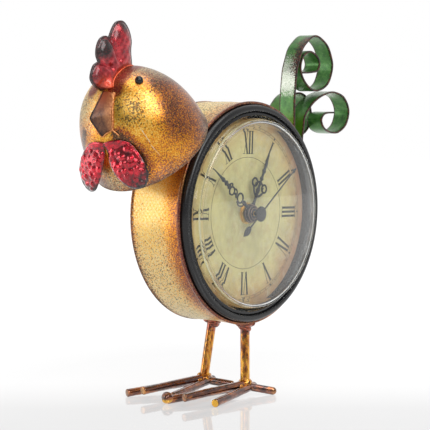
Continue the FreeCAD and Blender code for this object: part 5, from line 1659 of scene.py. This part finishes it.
def build_camera():
    a = math.radians(CAMERA_AZIMUTH)
    right = Vector((math.cos(a), math.sin(a), 0))
    target = CENTRE + right * -8.45 * MM + Vector((0, 0, -2.2 * MM))
    back = look_from(CAMERA_AZIMUTH, CAMERA_ELEVATION)
    data = bpy.data.cameras.new("camera")
    data.lens = CAMERA_LENS
    data.sensor_width = 36
    data.clip_start = 0.01
    camera = bpy.data.objects.new("camera", data)
    camera.location = target + back * CAMERA_DISTANCE
    camera.rotation_mode = "QUATERNION"
    camera.rotation_quaternion = (-back).to_track_quat("-Z", "Y")
    bpy.context.scene.collection.objects.link(camera)
    bpy.context.scene.camera = camera


def area_light(name, azimuth, elevation, distance, size, power):
    data = bpy.data.lights.new(name, "AREA")
    data.shape = "RECTANGLE"
    data.size, data.size_y = size
    data.energy = power
    lamp = bpy.data.objects.new(name, data)
    back = look_from(azimuth, elevation)
    lamp.location = CENTRE + back * distance
    lamp.rotation_mode = "QUATERNION"
    lamp.rotation_quaternion = back.to_track_quat("Z", "Y")
    bpy.context.scene.collection.objects.link(lamp)


def build_table():
    """Glossy white table: bright at the back, a little grey at the front, with a faint mirror image."""
    work = bmesh.new()
    bmesh.ops.create_grid(work, x_segments=24, y_segments=24, size=3.0)
    mesh = bpy.data.meshes.new("table")
    work.to_mesh(mesh)
    work.free()
    table = bpy.data.objects.new("table", mesh)
    bpy.context.scene.collection.objects.link(table)
    s = Shader("table_top")
    window = s.tree.nodes.new("ShaderNodeTexCoord").outputs["Window"]
    split = s.tree.nodes.new("ShaderNodeSeparateXYZ")
    s.link(window, split.inputs[0])
    stops = [(0.0, FLOOR_NEAR), (0.05, FLOOR_NEAR + 0.04), (0.095, 0.96), (0.11, 1.0)]
    shade = s.ramp(split.outputs["Y"], stops)
    even = s.tree.nodes.new("ShaderNodeEmission")
    even.inputs["Strength"].default_value = 1.12
    s.link(shade, even.inputs["Color"])
    matt = s.tree.nodes.new("ShaderNodeBsdfDiffuse")
    matt.inputs["Color"].default_value = (0.80, 0.80, 0.81, 1.0)
    mirror = s.tree.nodes.new("ShaderNodeBsdfGlossy")
    mirror.inputs["Color"].default_value = (0.95, 0.95, 0.95, 1.0)
    mirror.inputs["Roughness"].default_value = 0.045
    first = s.tree.nodes.new("ShaderNodeMixShader")
    near = s.ramp(s.math("DIVIDE", s.vector("LENGTH", s.mm), FLOOR_FADE), [(0.35, 1.0), (1.0, 0.0)])
    s.link(s.math("MULTIPLY", near, FLOOR_MATT), first.inputs[0])
    s.link(even.outputs[0], first.inputs[1])
    s.link(matt.outputs[0], first.inputs[2])
    second = s.tree.nodes.new("ShaderNodeMixShader")
    s.link(s.math("MULTIPLY", near, FLOOR_MIRROR), second.inputs[0])
    s.link(first.outputs[0], second.inputs[1])
    s.link(mirror.outputs[0], second.inputs[2])
    s.link(second.outputs[0], s.output.inputs["Surface"])
    table.data.materials.append(s.material)


def build_world():
    """White to the eye; for reflections a dim room on the camera's side and a white wall behind."""
    world = bpy.data.worlds.new("studio")
    bpy.context.scene.world = world
    world.use_nodes = True
    tree = world.node_tree
    tree.nodes.clear()
    out = tree.nodes.new("ShaderNodeOutputWorld")
    path = tree.nodes.new("ShaderNodeLightPath")
    white = tree.nodes.new("ShaderNodeBackground")
    white.inputs["Color"].default_value = (1, 1, 1, 1)
    room = tree.nodes.new("ShaderNodeBackground")
    coordinates = tree.nodes.new("ShaderNodeTexCoord")
    towards = tree.nodes.new("ShaderNodeVectorMath")
    towards.operation = "DOT_PRODUCT"
    towards.inputs[1].default_value = look_from(CAMERA_AZIMUTH, CAMERA_ELEVATION)
    tree.links.new(coordinates.outputs["Generated"], towards.inputs[0])
    half = tree.nodes.new("ShaderNodeMath")
    half.operation = "MULTIPLY_ADD"
    half.inputs[1].default_value = -0.5
    half.inputs[2].default_value = 0.5
    tree.links.new(towards.outputs["Value"], half.inputs[0])
    ramp = tree.nodes.new("ShaderNodeValToRGB")
    ramp.color_ramp.elements[0].position = 0.30
    ramp.color_ramp.elements[0].color = (ROOM_DIM, ROOM_DIM, ROOM_DIM, 1)
    ramp.color_ramp.elements[1].position = 0.85
    ramp.color_ramp.elements[1].color = (ROOM_WALL, ROOM_WALL, ROOM_WALL, 1)
    tree.links.new(half.outputs[0], ramp.inputs[0])
    tree.links.new(ramp.outputs[0], room.inputs["Color"])
    choose = tree.nodes.new("ShaderNodeMixShader")
    tree.links.new(path.outputs["Is Camera Ray"], choose.inputs[0])
    tree.links.new(room.outputs[0], choose.inputs[1])
    tree.links.new(white.outputs[0], choose.inputs[2])
    tree.links.new(choose.outputs[0], out.inputs["Surface"])


def build_lights():
    """Soft boxes: key right of the camera, a tall weak one at the left and a little behind, one beside the
    camera and a top light.
    """
    area_light("key_box", -17, 40, 0.85, (0.34, 0.60), 3.2)
    area_light("left_box", -134, 6, 0.8, (0.30, 0.60), 1.3)
    area_light("camera_box", -58, 30, 1.3, (0.60, 0.60), 3.0)
    area_light("top_box", -20, 84, 0.9, (0.60, 0.50), 2.2)
    bpy.context.scene.view_settings.view_transform = "Standard"


# ------------------------------------------------------------------ assembly
build_drum()
build_head()
for side, word in ((-1, "right"), (1, "left")):
    build_eye(side, word)
    build_comb(side, word)
    build_wattle(side, word)
    build_leg(side, word)
build_beak()
build_tail()
build_bezel()
build_lens()
build_dial()
build_print()
build_hour_hand()
build_minute_hand()
build_second_hand()
dress_cad_nodes()
build_table()
build_world()
build_lights()
build_camera()

bpy.context.view_layer.update()
